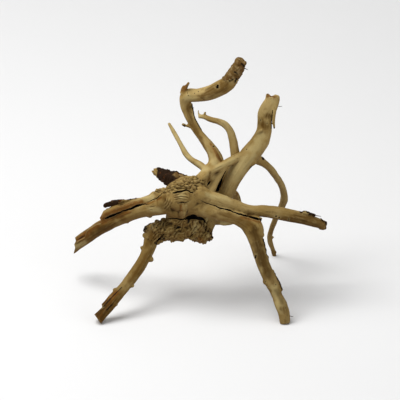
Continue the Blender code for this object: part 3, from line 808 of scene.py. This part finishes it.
# Open cracks, folds and hollows, cut into the skin along ragged lines. Each says how many times deeper than
# wide its blade is, and the line that the blade follows.
BLADE_ROUGH = {"size": 2.0, "width": 0.3, "sway_size": 5.0, "sway": 0.8, "up_sheet": (0.0, 0.44, 0.9)}
GOUGES = {
    "split": (5.0, [
        (-114.5, 122.4, 0.5), (-111, 124.2, 1.4), (-105.6, 126.4, 1.5), (-98.6, 129.4, 1.1),
        (-91.5, 132.0, 0.9), (-85, 134.2, 1.1), (-79.6, 136.2, 1.6), (-74, 138.6, 1.5), (-68, 140, 0.8),
        (-61.5, 140.2, 0.3),
    ]),
    "split_above": (6.0, [
        (-63.5, 143.0, 0.3), (-59, 144.2, 0.5), (-55.3, 145.9, 0.6), (-51.4, 147.8, 0.6),
        (-46.8, 151.8, 0.5), (-42.5, 155.4, 0.3),
    ]),
    "shard_gap": (6.0, [
        (-119, 134.0, 90, 0.9), (-110, 136.2, 86, 0.9), (-104, 138.6, 82, 0.6), (-96, 141, 79, 0.4),
        (-86, 143.4, 75, 0.3),
    ]),
    "fork_crack": (5.0, [
        (0.5, 144.1, 0.3), (6, 142.2, 0.45), (12, 140.2, 0.45), (18, 138, 0.65), (24, 135.6, 0.95),
        (29, 134.2, 0.75), (34, 133.4, 1.2), (40, 130.8, 0.75), (46, 128.8, 1.1), (54, 126.6, 1.2),
        (62, 124.6, 1.5), (67, 123.3, 1.9), (71, 121.8, 1.2),
    ]),
    "crown_fold": (5.0, [
        (-33, 153.2, 0.5), (-30, 153.9, 1.2), (-26, 155, 1.3), (-22, 155.3, 1.0), (-18.5, 156.6, 1.1),
        (-15, 156.7, 0.8), (-11.5, 155, 0.9), (-8, 153.5, 0.5),
    ]),
    "brow_fold": (4.0, [(-27, 160.5, 0.3), (-22, 161.4, 0.6), (-17, 160.6, 0.5), (-12, 161.5, 0.3)]),
    "temple_fold": (4.0, [(-35, 157.5, 0.3), (-31, 160.2, 0.5), (-27, 163.8, 0.3)]),
    "top_fold": (4.0, [(-20, 166.3, 0.3), (-15, 166.8, 0.5), (-9, 165.5, 0.3)]),
    "nose_fold": (3.0, [(-27, 141.2, 0.3), (-22, 142.3, 0.8), (-17.5, 142, 0.6), (-13.5, 143.6, 0.3)]),
    "waist_crease": (4.0, [
        (-41, 122.4, 0.4), (-33, 123, 0.8), (-26, 122.4, 0.9), (-21, 121.8, 0.9), (-17, 123.5, 0.9),
    ]),
    "waist_cavity": (2.4, [
        (-18, 121.4, 1.0), (-14.5, 123.8, 2.3), (-9.5, 124.9, 3.0), (-4, 124.6, 3.0), (1, 122.9, 2.4),
        (5.0, 120.4, 1.4), (6.6, 117.6, 0.6),
    ]),
    "leg_root_fold": (3.0, [(-43, 104, 0.7), (-46, 101, 1.6), (-50, 97.5, 1.3), (-53, 94, 0.6)]),
    "belly_fold": (3.0, [(-31, 109.5, 0.5), (-27, 111.5, 0.9), (-22.5, 112.5, 0.6)]),
    "lump_fold": (3.0, [(-12, 100.5, 0.5), (-8.5, 104.2, 0.7), (-5, 107, 0.4)]),
    "comb_fold": (3.0, [(0, 112.4, 0.3), (4, 113.2, 0.7), (8, 112, 0.3)]),
    "ribbon_hollow": (4.0, [(8.4, 162.3, 0.5), (10.4, 165, 1.3), (12.7, 168.4, 0.5)]),
    "ribbon_slot": (5.0, [
        (19.6, 156, 2.5), (21.2, 160, 2.6), (24.4, 166.7, 1.9), (27.2, 173.6, 1.1), (30.5, 179, 0.6),
        (35.7, 186, 0.4),
    ]),
    "trunk_pith": (3.0, [(85.2, 276, 119, 1.6), (85.2, 269.4, 117, 0.9)]),
    "splinter_slot": (4.0, [(87.2, 253, 0.4), (86.2, 244, 0.8), (85.6, 235, 0.7), (85.3, 230, 0.3)]),
}
cutters = []
for name, (depth, marks) in GOUGES.items():
    blade, _ = tube(name, [placed(point) for point in marks], depth)
    bpy.ops.object.mode_set(mode="EDIT")
    bpy.ops.mesh.select_all(action="SELECT")
    bpy.ops.mesh.subdivide(number_cuts=1)
    bpy.ops.object.mode_set(mode="OBJECT")
    edge = spots_of(blade)
    thinned = np.minimum(1.0, BLADE_ROUGH["width"] * uneven(edge, BLADE_ROUGH["size"], 2))
    sway = BLADE_ROUGH["sway"] * uneven(edge * (1.0, 0.0, 0.0), BLADE_ROUGH["sway_size"], 4)
    move_to(blade, edge + normals_of(blade) * thinned[:, None] + sway[:, None] * BLADE_ROUGH["up_sheet"])
    cutters.append(blade)

# Each hole is (across, rise, radius, depth) as it is seen from the front: old knots and the bores of insects.
HOLES = [
    (20.8, 280.4, 2.1, 7), (21.2, 282.4, 1.9, 7), (-15, 273.5, 0.8, 3), (-14, 270.6, 0.8, 3),
    (-6.6, 273.2, 0.8, 3), (-2, 275.4, 0.8, 3), (8.6, 278.2, 0.8, 3), (15.8, 209.2, 1.0, 3),
    (72.5, 241, 0.9, 4), (80.5, 237, 0.8, 4), (66.5, 76, 1.6, 6), (66.9, 78, 1.5, 6), (78.5, 47, 0.8, 4),
    (91, 43.6, 0.9, 4), (82.6, 40.9, 0.7, 4), (103, 15.6, 0.8, 3), (91.2, 125.6, 1.4, 4),
    (95, 124.3, 1.2, 4), (106.3, 121.2, 0.8, 4), (106.3, 122.6, 0.7, 4), (-46.5, 100.5, 1.6, 6),
    (-44.5, 102, 1.4, 6), (56, 206, 0.9, 2), (-52, 112, 1.2, 4),
]
BORE_END = 0.55
for across_hole, rise_hole, radius, depth in HOLES:
    surface = on_sheet(across_hole, rise_hole, seen(across_hole, rise_hole))
    bpy.ops.mesh.primitive_cone_add(
        vertices=9, radius1=radius * BORE_END * MM, radius2=radius * MM, depth=2.0 * depth * MM,
        location=surface * MM, rotation=(math.pi / 2.0 - LEAN, 0.0, 0.0),
    )
    bore = bpy.context.object
    bpy.ops.object.transform_apply(location=True, rotation=True, scale=True)
    cutters.append(bore)
uncut = BVHTree.FromObject(wood, bpy.context.evaluated_depsgraph_get())
cut(joined(cutters, "blades"))

# The skin is brought under the share of triangles that one piece may have. Flat stretches give up theirs, and
# the folds keep theirs.
MOST_TRIANGLES = 190000
SHARP_FROM = math.radians(50.0)
bpy.ops.object.select_all(action="DESELECT")
wood.select_set(True)
bpy.context.view_layer.objects.active = wood
wood.data.calc_loop_triangles()
thin = wood.modifiers.new("thin", "DECIMATE")
thin.ratio = min(1.0, MOST_TRIANGLES / len(wood.data.loop_triangles))
bpy.ops.object.modifier_apply(modifier="thin")
bpy.ops.object.shade_smooth_by_angle(angle=SHARP_FROM)

# How the wood is coloured. Water and sun left it pale where it stood proud, brown stains where it lay wet
# and orange where it split open, and old bark still clings in places; with this, light and shade are painted
# in.
# Marks are (across, rise, radius) as they are seen from the front, or (across, rise, back, radius) where they
# go right round a root: pale, partly bleaching and partly painted highlight; brown, partly stain and partly
# painted shade; orange heartwood; olive painted shade on undersides and shaded sides; and black, partly dark
# bark and partly painted shade in cracks, holes and gaps.
# Depths inside cuts over which the wood turns black as painted shade.
OPENED = (0.5, 1.8)
# Pale marks: partly bleached wood, partly painted highlights and painted light on shaded stretches.
PALE_AND_LIT = [
    [(54, 211, 5), (66, 207, 6), (72, 222, 5)], [(-16, 268, 5), (-6, 266, 4)],
    [(8, 152, 2.5), (34, 146, 2.5)], [(-71, 148, 3), (-58, 148, 4)], [(-62, 134, 3), (-50, 133, 4)],
    [(42, 222, 120, 5), (30, 236, 128, 5)], [(50, 176, 4), (56, 187, 4), (66, 199, 3)],
    [(9, 204, 2.5), (17, 190, 4)], [(0, 245, 146, 5)], [(-12, 196, 97, 4), (-37, 237, 138, 4)],
    [(24, 117, 94, 4.5), (42, 121, 112, 4.5)], [(47, 134, 115, 4)], [(84, 54, 4), (97, 14, 5)],
    [(-4, 188, 4), (6, 182, 4)], [(87, 264, 3)], [(-147, 89, 3), (-138, 94.5, 3)], [(-22.5, 149, 4)],
    [(-16.6, 139, 1.0), (-16.4, 128.5, 1.2)], [(30, 150, 4), (44, 172, 5)],
    [(68, 90, 20, 3), (74, 60, 10, 2.5)], [(-137, 103, 1.0), (-121, 118, 1.0)],
    [(-4.4, 118.5, 2.4), (-5.4, 111, 2.2), (-9, 105.5, 1.6)], [(8, 122, 1.4), (6.8, 116, 1.3)],
    [(9.6, 106, 1.5), (9.2, 102, 1.4)], [(-54.5, 118, 1.7), (-57, 113, 1.7)], [(40, 194, 3), (20, 184, 3)],
    [(55, 196, 4), (40, 176, 4)],
]
# Brown marks: partly stains, partly painted shade on shaded sides and around hollows.
BROWN_AND_SHADE = [
    [(-1.2, 270, 1.8)], [(2, 269, 3), (6, 272, 3)], [(4.3, 266, 1.4)], [(10, 274, 6), (28, 283, 7)],
    [(-14, 258, 3), (-12.5, 247, 3), (-10, 237, 3), (-5, 229, 3), (3, 214, 2.2), (5, 209, 1.6)],
    [(58, 129, 3), (90, 122.5, 4), (105, 122.5, 5), (120, 122, 7), (134, 119, 7.5), (147, 114, 8)],
    [(64, 110, 5), (67.5, 98, 5.5), (71, 82, 6), (77, 68, 6), (83, 56, 5.5), (88, 46, 4)],
    [(99, 32, 4), (101, 14, 4)], [(24, 130, 3), (34, 126.5, 4), (46, 122.5, 4), (58, 117, 5)],
    [(-58, 86, 3), (-74, 60, 4), (-84, 48, 3)], [(-133, 100, 7), (-120, 108, 7.5), (-106, 117, 6.5)],
    [(-147, 99, 104, 6), (-140, 105, 99, 7)], [(-94, 123, 5)],
    [(-98, 32, 9, 6), (-112, 16, 0, 9), (-122, 5, -6, 10)], [(80, 246, 4)], [(74, 238, 5), (79, 232, 4)],
    [(-22.5, 137, 1.6), (-23, 128, 2.2)], [(12, 168, 3)], [(18, 126, 3)],
    [(88, 84, 178, 4), (89.5, 76, 180, 4)], [(-43, 147, 3.5)], [(12, 177, 2.2), (10.6, 168, 2.6)],
    [(-56, 104, 5), (-62, 92, 4)],
]
HEART = [
    [(-118, 122, 6.5), (-100, 131, 6), (-80, 139, 4.5), (-70, 143, 2.5)],
    [(-147, 99, 103, 5), (-136, 108, 97, 6), (-122, 117, 6)], [(-100, 125.5, 2.5), (-84, 131, 2)],
    [(-66, 141, 1.2), (-59, 141.8, 1.2), (-52, 145, 1.4), (-46, 149, 1.0)],
    [(12.8, 212.6, 1.4), (17.8, 205.3, 2.0), (21.5, 198.8, 2.2), (24.7, 192.4, 2.6)], [(44.5, 152, 2.4)],
    [(50, 125, 1.6), (62, 122, 2), (72, 119, 2.5)], [(-20, 278, 115, 3.5), (-14, 287, 114, 4)],
    [(81, 271, 2.5), (90, 269, 3)], [(-100, 35, 3), (-113, 22, 4)],
    [(-22.6, 138, 1.6), (-22.4, 126.5, 2.4)], [(0, 97, 3), (10, 95, 3)],
    [(-108, 26, 5, 5), (-118, 14, -3, 7), (-124, 4, -7, 8)],
]
# Painted shade: olive on the limbs' undersides and shaded sides.
UNDERSIDE_SHADE = [
    [(65, 109, 4), (68, 96, 5), (70.5, 84, 5), (75, 71, 5.5), (82, 57, 5)],
    [(-47, 116, 3.5), (-40, 113, 3.5)], [(-127, 104, 3), (-117, 109.5, 4), (-108, 114.5, 3)],
    [(-112, 21, 2, 5), (-117, 14, -2, 7), (-123, 5, -7, 8)], [(104, 121, 3), (122, 118, 4), (140, 113, 4)],
    [(-46, 139, 4), (-34, 134, 5)], [(-28, 106, 3.5)], [(-38, 118, 3)], [(92, 36, 3), (98, 22, 3)],
    [(-104, 124, 3), (-88, 131, 2)],
]
# Black marks: dark bark and dark lines, and painted shade in cracks, holes and gaps.
BLACK_AND_SHADE = [
    [(87.0, 253, 1.0), (86.2, 241, 1.3), (85.6, 232, 1.1)], [(-40, 121.6, 1.0), (-22, 121, 1.3)],
    [(61, 185, 90, 2.4)], [(67, 187.5, 92, 2.0)], [(-60, 113, 93, 4.5), (-67, 110, 100, 5)],
    [(68, 122.5, 2.0), (73, 120.5, 2.2)], [(9, 163.6, 1.0), (11.6, 167.6, 1.0)],
    [(-46, 171, 92, 3.5), (-42, 166.5, 88, 3.5), (-38.5, 163, 84, 3.5)],
    [(-44.5, 169, 86, 2.6), (-41.8, 165, 84, 3.2), (-40, 162.6, 82, 3.0)],
    [
        (-9.4, 260, 116, 1.5), (-8.0, 252, 114, 1.6), (-5.9, 243, 111, 1.6), (-1.9, 236, 109, 1.5),
        (2, 229, 107, 1.6),
    ],
    [
        (15, 209.5, 100, 1.2), (20.4, 204, 98, 1.3), (25, 197.6, 95, 2.0), (28.2, 192.6, 92, 2.4),
        (29.5, 189.5, 91, 2.2),
    ],
    [(41, 299, 0.9), (43.2, 298.2, 0.8), (45.2, 296.2, 0.6)], [(47, 312.6, 0.8)],
    [(49.8, 309, 0.9), (52.6, 305.8, 1.1)], [(30, 291.4, 0.8)],
    [(34.8, 288.4, 0.6), (37, 287.8, 0.6), (39.2, 289.8, 0.9)], [(42.4, 286.8, 1.4), (43.6, 290.4, 1.4)],
    [(-13.6, 121, 2.0), (-14, 118, 1.2)], [(-27.5, 112.3, 1.2), (-24.2, 113.3, 0.9)], [(-41.9, 109.1, 0.8)],
    [(-43, 99, 1.3), (-48.5, 98.3, 1.5)], [(21, 281.4, 1.7)], [(81.3, 273, 120, 1.3)],
    [(84.8, 270.2, 116, 1.2), (88.6, 270.8, 116, 0.9)], [(-61.8, 98.4, 0.7)], [(-58, 96.4, 0.8)],
    [(-54, 93.8, 0.9), (-52, 92, 0.8)], [(91.0, 125.5, 1.7)], [(94.6, 124.3, 1.6)],
    [(106.4, 122.8, 1.4), (106.4, 121.2, 1.3)], [(98.4, 39, 7, 1.8)],
    [(-136, 93.4, 104, 1.8), (-127, 98.8, 99, 2.2), (-116, 104.2, 93, 1.8)],
    [(-145.5, 98.4, 0.5), (-140, 101.6, 0.7)], [(-97, 145.4, 0.7), (-88, 146, 0.6), (-78, 148.4, 0.5)],
    [(16.5, 209.9, 1.0)], [(42.2, 153.8, 0.8), (44.7, 159, 0.7), (47.2, 153, 0.8), (48.4, 147.5, 0.8)],
    [(-94.4, 39.9, 0.6), (-101.7, 32.6, 0.7), (-116, 17, 0.7)], [(-99.9, 26.2, 0.6), (-111.8, 13.3, 0.7)],
    [(89.0, 231.5, 103, 1.4)], [(-149.3, 99, 1.0)], [(136, 112, 66, 1.6), (149, 108, 68, 2.0)],
    [(-10, 124, 4.0), (0, 122.6, 3.0)],
]


def softened(values, edges, rounds):
    """Values averaged with their neighbours along the mesh's edges, over and over."""
    count = np.bincount(edges.ravel(), minlength=len(values)).astype(float)[:, None]
    for _ in range(rounds):
        total = np.stack([
            np.bincount(edges[:, 0], column[edges[:, 1]], len(values))
            + np.bincount(edges[:, 1], column[edges[:, 0]], len(values))
            for column in values.T
        ], axis=1)
        values = 0.5 * values + 0.5 * total / count
    return values


def hollows(obj, rounds, depth):
    """0 to 1 for each point: how far it lies below its surroundings, as a share of that depth."""
    edges = np.empty(2 * len(obj.data.edges), int)
    obj.data.edges.foreach_get("vertices", edges)
    spots = spots_of(obj)
    level = softened(spots, edges.reshape(-1, 2), rounds)
    return np.clip(np.einsum("ij,ij->i", level - spots, normals_of(obj)) / depth, -1.0, 1.0)


def keep(obj, name, values):
    """Stores one number, or three, for each of the mesh's points, for its material to read."""
    kind = "FLOAT" if values.ndim == 1 else "FLOAT_VECTOR"
    layer = obj.data.attributes.new(name, kind, "POINT")
    layer.data.foreach_set("value" if values.ndim == 1 else "vector", values.astype(np.float32).ravel())


spots = spots_of(wood)
facing = normals_of(wood)
grain, sure = grain_of(spots)
rough = 0.6 * uneven(spots + 400.0, 6.0, 3)
streaky = 0.5 * uneven(grain * (1.0, 1.0, 0.1), 3.0, 2)
inside = np.array([uncut.find_nearest(spot)[3] for spot in (spots * MM).tolist()]) / MM
# Black where marked and deep inside cuts: dark bark, and painted shade in cracks, holes and gaps.
black_and_shade = np.maximum(marked(spots, BLACK_AND_SHADE, 0.5 * rough), eased(inside, *OPENED))
keep(wood, "grain", grain)
keep(wood, "sure", sure)
keep(wood, "burl", np.maximum(burl_share(spots, UPPER_BURL), burl_share(spots, LOWER_BURL)))
keep(wood, "fine_hollow", hollows(wood, 5, 0.35))
keep(wood, "broad_hollow", hollows(wood, 40, 1.6))
keep(wood, "pale_and_lit", marked(spots, PALE_AND_LIT, rough, 0.7))
keep(wood, "brown_and_shade", marked(spots, BROWN_AND_SHADE, rough + 0.3 * streaky, 0.6))
keep(wood, "underside_shade", marked(spots, UNDERSIDE_SHADE, rough, 0.8))
keep(wood, "heart", marked(spots, HEART, 0.4 * rough + 0.6 * streaky, 0.4))
keep(wood, "bark", bark_on(spots))
keep(wood, "light_bark", marked(spots, TIP_BARK, 0.1 * rough))
# Faces that turn downward, darkened in the material as painted shade.
keep(wood, "under", eased(-facing[:, 2], -0.3, 0.8))
# Inside cuts and cracks, darkened in the material as painted shade.
keep(wood, "opened", eased(inside, 0.15, 0.5))
keep(wood, "black_and_shade", black_and_shade)

# Bare wood's finish: tan with fine streaks along the grain, greyer and speckled on the burls, and darker in
# every hollow, as grime and as painted shade. Painted shade also darkens it towards the bottom, on faces that
# turn downward and inside cuts. All of it is dry and matt.


class Wire:
    """A node's output. Sums on wires add Math nodes, and other nodes are added to the same material."""

    def __init__(self, tree, socket=None):
        self.tree = tree
        self.socket = socket

    def node(self, kind, settings=None, inputs=None, out=0):
        """Adds a node of that kind, and gives the wire of one of its outputs."""
        made = self.tree.nodes.new("ShaderNode" + kind)
        for name, value in (settings or {}).items():
            setattr(made, name, value)
        for name, value in (inputs or {}).items():
            if isinstance(value, Wire):
                self.tree.links.new(value.socket, made.inputs[name])
            else:
                made.inputs[name].default_value = value
        return Wire(self.tree, made.outputs[out])

    def sum(self, operation, first, second):
        return self.node("Math", {"operation": operation}, {0: first, 1: second})

    def __add__(self, other):
        return self.sum("ADD", self, other)

    __radd__ = __add__

    def __rsub__(self, other):
        return self.sum("SUBTRACT", other, self)

    def __mul__(self, other):
        return self.sum("MULTIPLY", self, other)

    __rmul__ = __mul__

    def between(self, low, high):
        """0 up to low, 1 from high, and a soft step between them."""
        limits = {"Value": self, "From Min": low, "From Max": high}
        return self.node("MapRange", {"interpolation_type": "SMOOTHSTEP"}, limits)

    def stored(self, name):
        return self.node("Attribute", {"attribute_name": name}, out="Fac")

    def place_in_mm(self):
        place = self.node("TexCoord", out="Object")
        return self.node("VectorMath", {"operation": "SCALE"}, {0: place, "Scale": 1.0 / MM})

    def noise(self, place, size, detail=3.0, roughness=0.55):
        inputs = {"Vector": place, "Scale": 1.0 / size, "Detail": detail, "Roughness": roughness}
        return self.node("TexNoise", inputs=inputs, out="Fac")

    def mixed(self, first, second, share, blend="MIX"):
        settings = {"data_type": "RGBA", "blend_type": blend, "clamp_factor": True}
        return self.node("Mix", settings, {0: share, 6: first, 7: second}, out=2)


def tone(red, green, blue):
    """A colour as it looks on a screen, from 0 to 255, in the linear numbers that a shader takes."""
    shares = [value / 255.0 for value in (red, green, blue)]
    linear = [share / 12.92 if share <= 0.04045 else ((share + 0.055) / 1.055) ** 2.4 for share in shares]
    return (*linear, 1.0)


MATT = 0.08


def new_material(name):
    """A matt material with one Principled shader, and the wire that its nodes start from."""
    material = bpy.data.materials.new(name)
    material.use_nodes = True
    shader = material.node_tree.nodes["Principled BSDF"]
    shader.inputs["Specular IOR Level"].default_value = MATT
    return material, shader, Wire(material.node_tree)


TAN = tone(146, 119, 66)
SAND = tone(170, 146, 94)
UMBER = tone(104, 78, 34)
# Pale tone for bleached wood, and for painted highlights.
BLEACHED_AND_LIT = tone(178, 159, 108)
# Dark brown for stained heartwood, and for painted shade on undersides and inside cuts.
STAIN_AND_SHADE = tone(76, 45, 11)
BROWNED_AND_SHADED = tone(90, 63, 21)
SHADE_OLIVE = tone(60, 42, 13)
GOLDEN = tone(117, 73, 20)
BURL_TAN = tone(146, 120, 68)
BURL_DARK = tone(104, 78, 38)
BARK_BROWN = tone(35, 20, 6)
BARK_RED = tone(78, 42, 12)
TIP_BROWN = tone(102, 77, 38)
TIP_GREY = tone(138, 115, 76)
# Multiplied over the lower wood as painted shade.
LOWER_SHADE = (0.60, 0.56, 0.48, 1.0)
PITCH = tone(16, 10, 5)
# Darkening for hollows: grime, and painted shade.
GRIME_AND_SHADE = tone(48, 33, 15)

weathered, shader, wire = new_material("weathered_wood")
fine = wire.place_in_mm()
grain_place = wire.node("Attribute", {"attribute_name": "grain"}, out="Vector")
long_grain = wire.node("Mapping", inputs={0: grain_place, "Scale": (1.0, 1.0, 0.06)})
cloud = wire.noise(fine, 28.0, 3.0)
blotch = wire.noise(fine, 7.0, 4.0, 0.6)
speck = wire.noise(fine, 1.6, 2.0, 0.6)
height = wire.node("SeparateXYZ", inputs={0: fine}, out=2)
flaky = wire.noise(fine, 4.2, 3.0, 0.6)
streak = wire.noise(long_grain, 2.2, 4.0, 0.65)
fibre = wire.noise(long_grain, 0.7, 2.0, 0.5)
sureness = wire.stored("sure")
burl_here = wire.stored("burl")
bare = 1.0 - wire.stored("bark")

colour = wire.mixed(TAN, SAND, cloud.between(0.38, 0.62))
colour = wire.mixed(colour, UMBER, streak.between(0.50, 0.78) * sureness * 0.5)
colour = wire.mixed(colour, SAND, fibre.between(0.55, 0.75) * sureness * 0.45)
colour = wire.mixed(colour, UMBER, blotch.between(0.54, 0.72) * 0.45)
colour = wire.mixed(colour, wire.mixed(BURL_TAN, BURL_DARK, blotch.between(0.42, 0.66)), burl_here * 0.8)
# Painted shade: below 170 mm up the wood is multiplied darker, fully so below 60 mm.
colour = wire.mixed(colour, LOWER_SHADE, 1.0 - height.between(60.0, 170.0), "MULTIPLY")
# Pale marks: bleaching in part, and in part painted highlights and painted light.
colour = wire.mixed(colour, BLEACHED_AND_LIT, wire.stored("pale_and_lit") * (0.5 + 0.5 * streak))
# Brown marks: stains, and painted shade.
colour = wire.mixed(colour, BROWNED_AND_SHADED, wire.stored("brown_and_shade") * (0.60 + 0.35 * streak.between(0.3, 0.7)))
split_wood = wire.mixed(GOLDEN, STAIN_AND_SHADE, streak.between(0.40, 0.62) * 0.9)
colour = wire.mixed(colour, split_wood, wire.stored("heart") * 0.9)
# Painted shade: olive on undersides and shaded sides.
colour = wire.mixed(colour, SHADE_OLIVE, wire.stored("underside_shade") * (0.45 + 0.3 * streak))
dark_bark = wire.mixed(BARK_BROWN, BARK_RED, blotch.between(0.52, 0.68))
tip_bark = wire.mixed(TIP_BROWN, TIP_GREY, flaky.between(0.48, 0.64))
tip_bark = wire.mixed(tip_bark, BARK_RED, blotch.between(0.50, 0.66) * 0.6)
bark_tone = wire.mixed(dark_bark, tip_bark, wire.stored("light_bark"))
colour = wire.mixed(colour, bark_tone, wire.stored("bark").between(0.35, 0.6))
# Darker in hollows: grime in creases, and painted shade in creases and broad recesses.
colour = wire.mixed(colour, GRIME_AND_SHADE, wire.stored("fine_hollow").between(0.15, 0.95) * (0.45 + 0.35 * burl_here))
colour = wire.mixed(colour, GRIME_AND_SHADE, wire.stored("broad_hollow").between(0.1, 0.9) * 0.6)
colour = wire.mixed(colour, BLEACHED_AND_LIT, (0.0 - wire.stored("fine_hollow")).between(0.25, 1.0) * bare * 0.3)
colour = wire.mixed(colour, UMBER, speck.between(0.6, 0.78) * bare * 0.45)
# Painted shade: faces that turn downward are darkened.
colour = wire.mixed(colour, STAIN_AND_SHADE, wire.stored("under") * 0.5)
# Painted shade: the inside of cuts, cracks and holes is darkened.
colour = wire.mixed(colour, STAIN_AND_SHADE, wire.stored("opened") * 0.7)
# Black: dark bark, and painted shade deep in cracks, holes and gaps.
colour = wire.mixed(colour, PITCH, wire.stored("black_and_shade"))
relief = streak * sureness * 0.6 + fibre * sureness * 0.35 + speck * 0.4 + wire.stored("bark") * blotch * 1.2
bump = wire.node("Bump", inputs={"Height": relief, "Distance": 0.7 * MM, "Strength": 0.7})
wire.tree.links.new(colour.socket, shader.inputs["Base Color"])
wire.tree.links.new(bump.socket, shader.inputs["Normal"])
wire.tree.links.new((0.62 + 0.25 * streak).socket, shader.inputs["Roughness"])
wood.data.materials.clear()
wood.data.materials.append(weathered)
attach(wood, "root")
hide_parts("driftwood")

# Loose hairs of torn wood, and a few strips of bark up to 2.6 millimetres thick, that still hang on the
# broken ends and edges.
FIBRES = [
    [(137, 126.8, 66, 0.55), (141, 126.3, 66, 0.4), (145.4, 125.5, 66, 0.25)],
    [(144.4, 123.6, 67, 0.3), (146.4, 121.8, 67, 0.6), (149.5, 117.5, 68, 0.7), (151, 114, 68, 0.5)],
    [(143, 121, 66, 0.5), (147.5, 119.6, 66, 0.4), (149.8, 116.5, 66, 0.3)],
    [(52.5, 303.5, 92, 0.6), (55.4, 302.4, 92, 0.4), (57.4, 301.4, 92, 0.25)],
    [(92, 258.5, 117, 0.4), (96, 257.4, 117, 0.3), (98.6, 257.8, 117, 0.2)],
    [(106, 6.8, -2, 0.4), (109.5, 5.6, -2, 0.35), (112, 5.6, -2, 0.25)],
    [(-9.4, 254.5, 114, 0.4), (-7.4, 256, 114, 0.3)], [(-8.6, 249.5, 114, 0.4), (-7, 249, 114, 0.25)],
    [(-66, 111.5, 99, 1.0), (-61.5, 115, 94, 1.3), (-56, 117.5, 88, 1.0)],
    [(78.6, 82, 27, 0.6), (81.2, 76, 25, 0.9), (81.8, 73.6, 24, 0.5)],
    [(92.2, 52, 13, 0.8), (96.0, 44, 10, 1.2), (97.8, 38, 7, 1.1), (98.8, 36.4, 7, 0.4)],
]
FIBRE_BROWN = tone(46, 32, 18)
fibres = joined([tube("fibre", route, sides=2)[0] for route in FIBRES], "loose_fibres")
bpy.ops.object.shade_smooth()
torn, shader, wire = new_material("torn_fibre")
mottle = wire.noise(wire.place_in_mm(), 3.0, 2.0).between(0.4, 0.6)
colour = wire.mixed(FIBRE_BROWN, BARK_BROWN, mottle)
wire.tree.links.new(colour.socket, shader.inputs["Base Color"])
shader.inputs["Roughness"].default_value = 0.8
fibres.data.materials.clear()
fibres.data.materials.append(torn)
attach(fibres, "root")
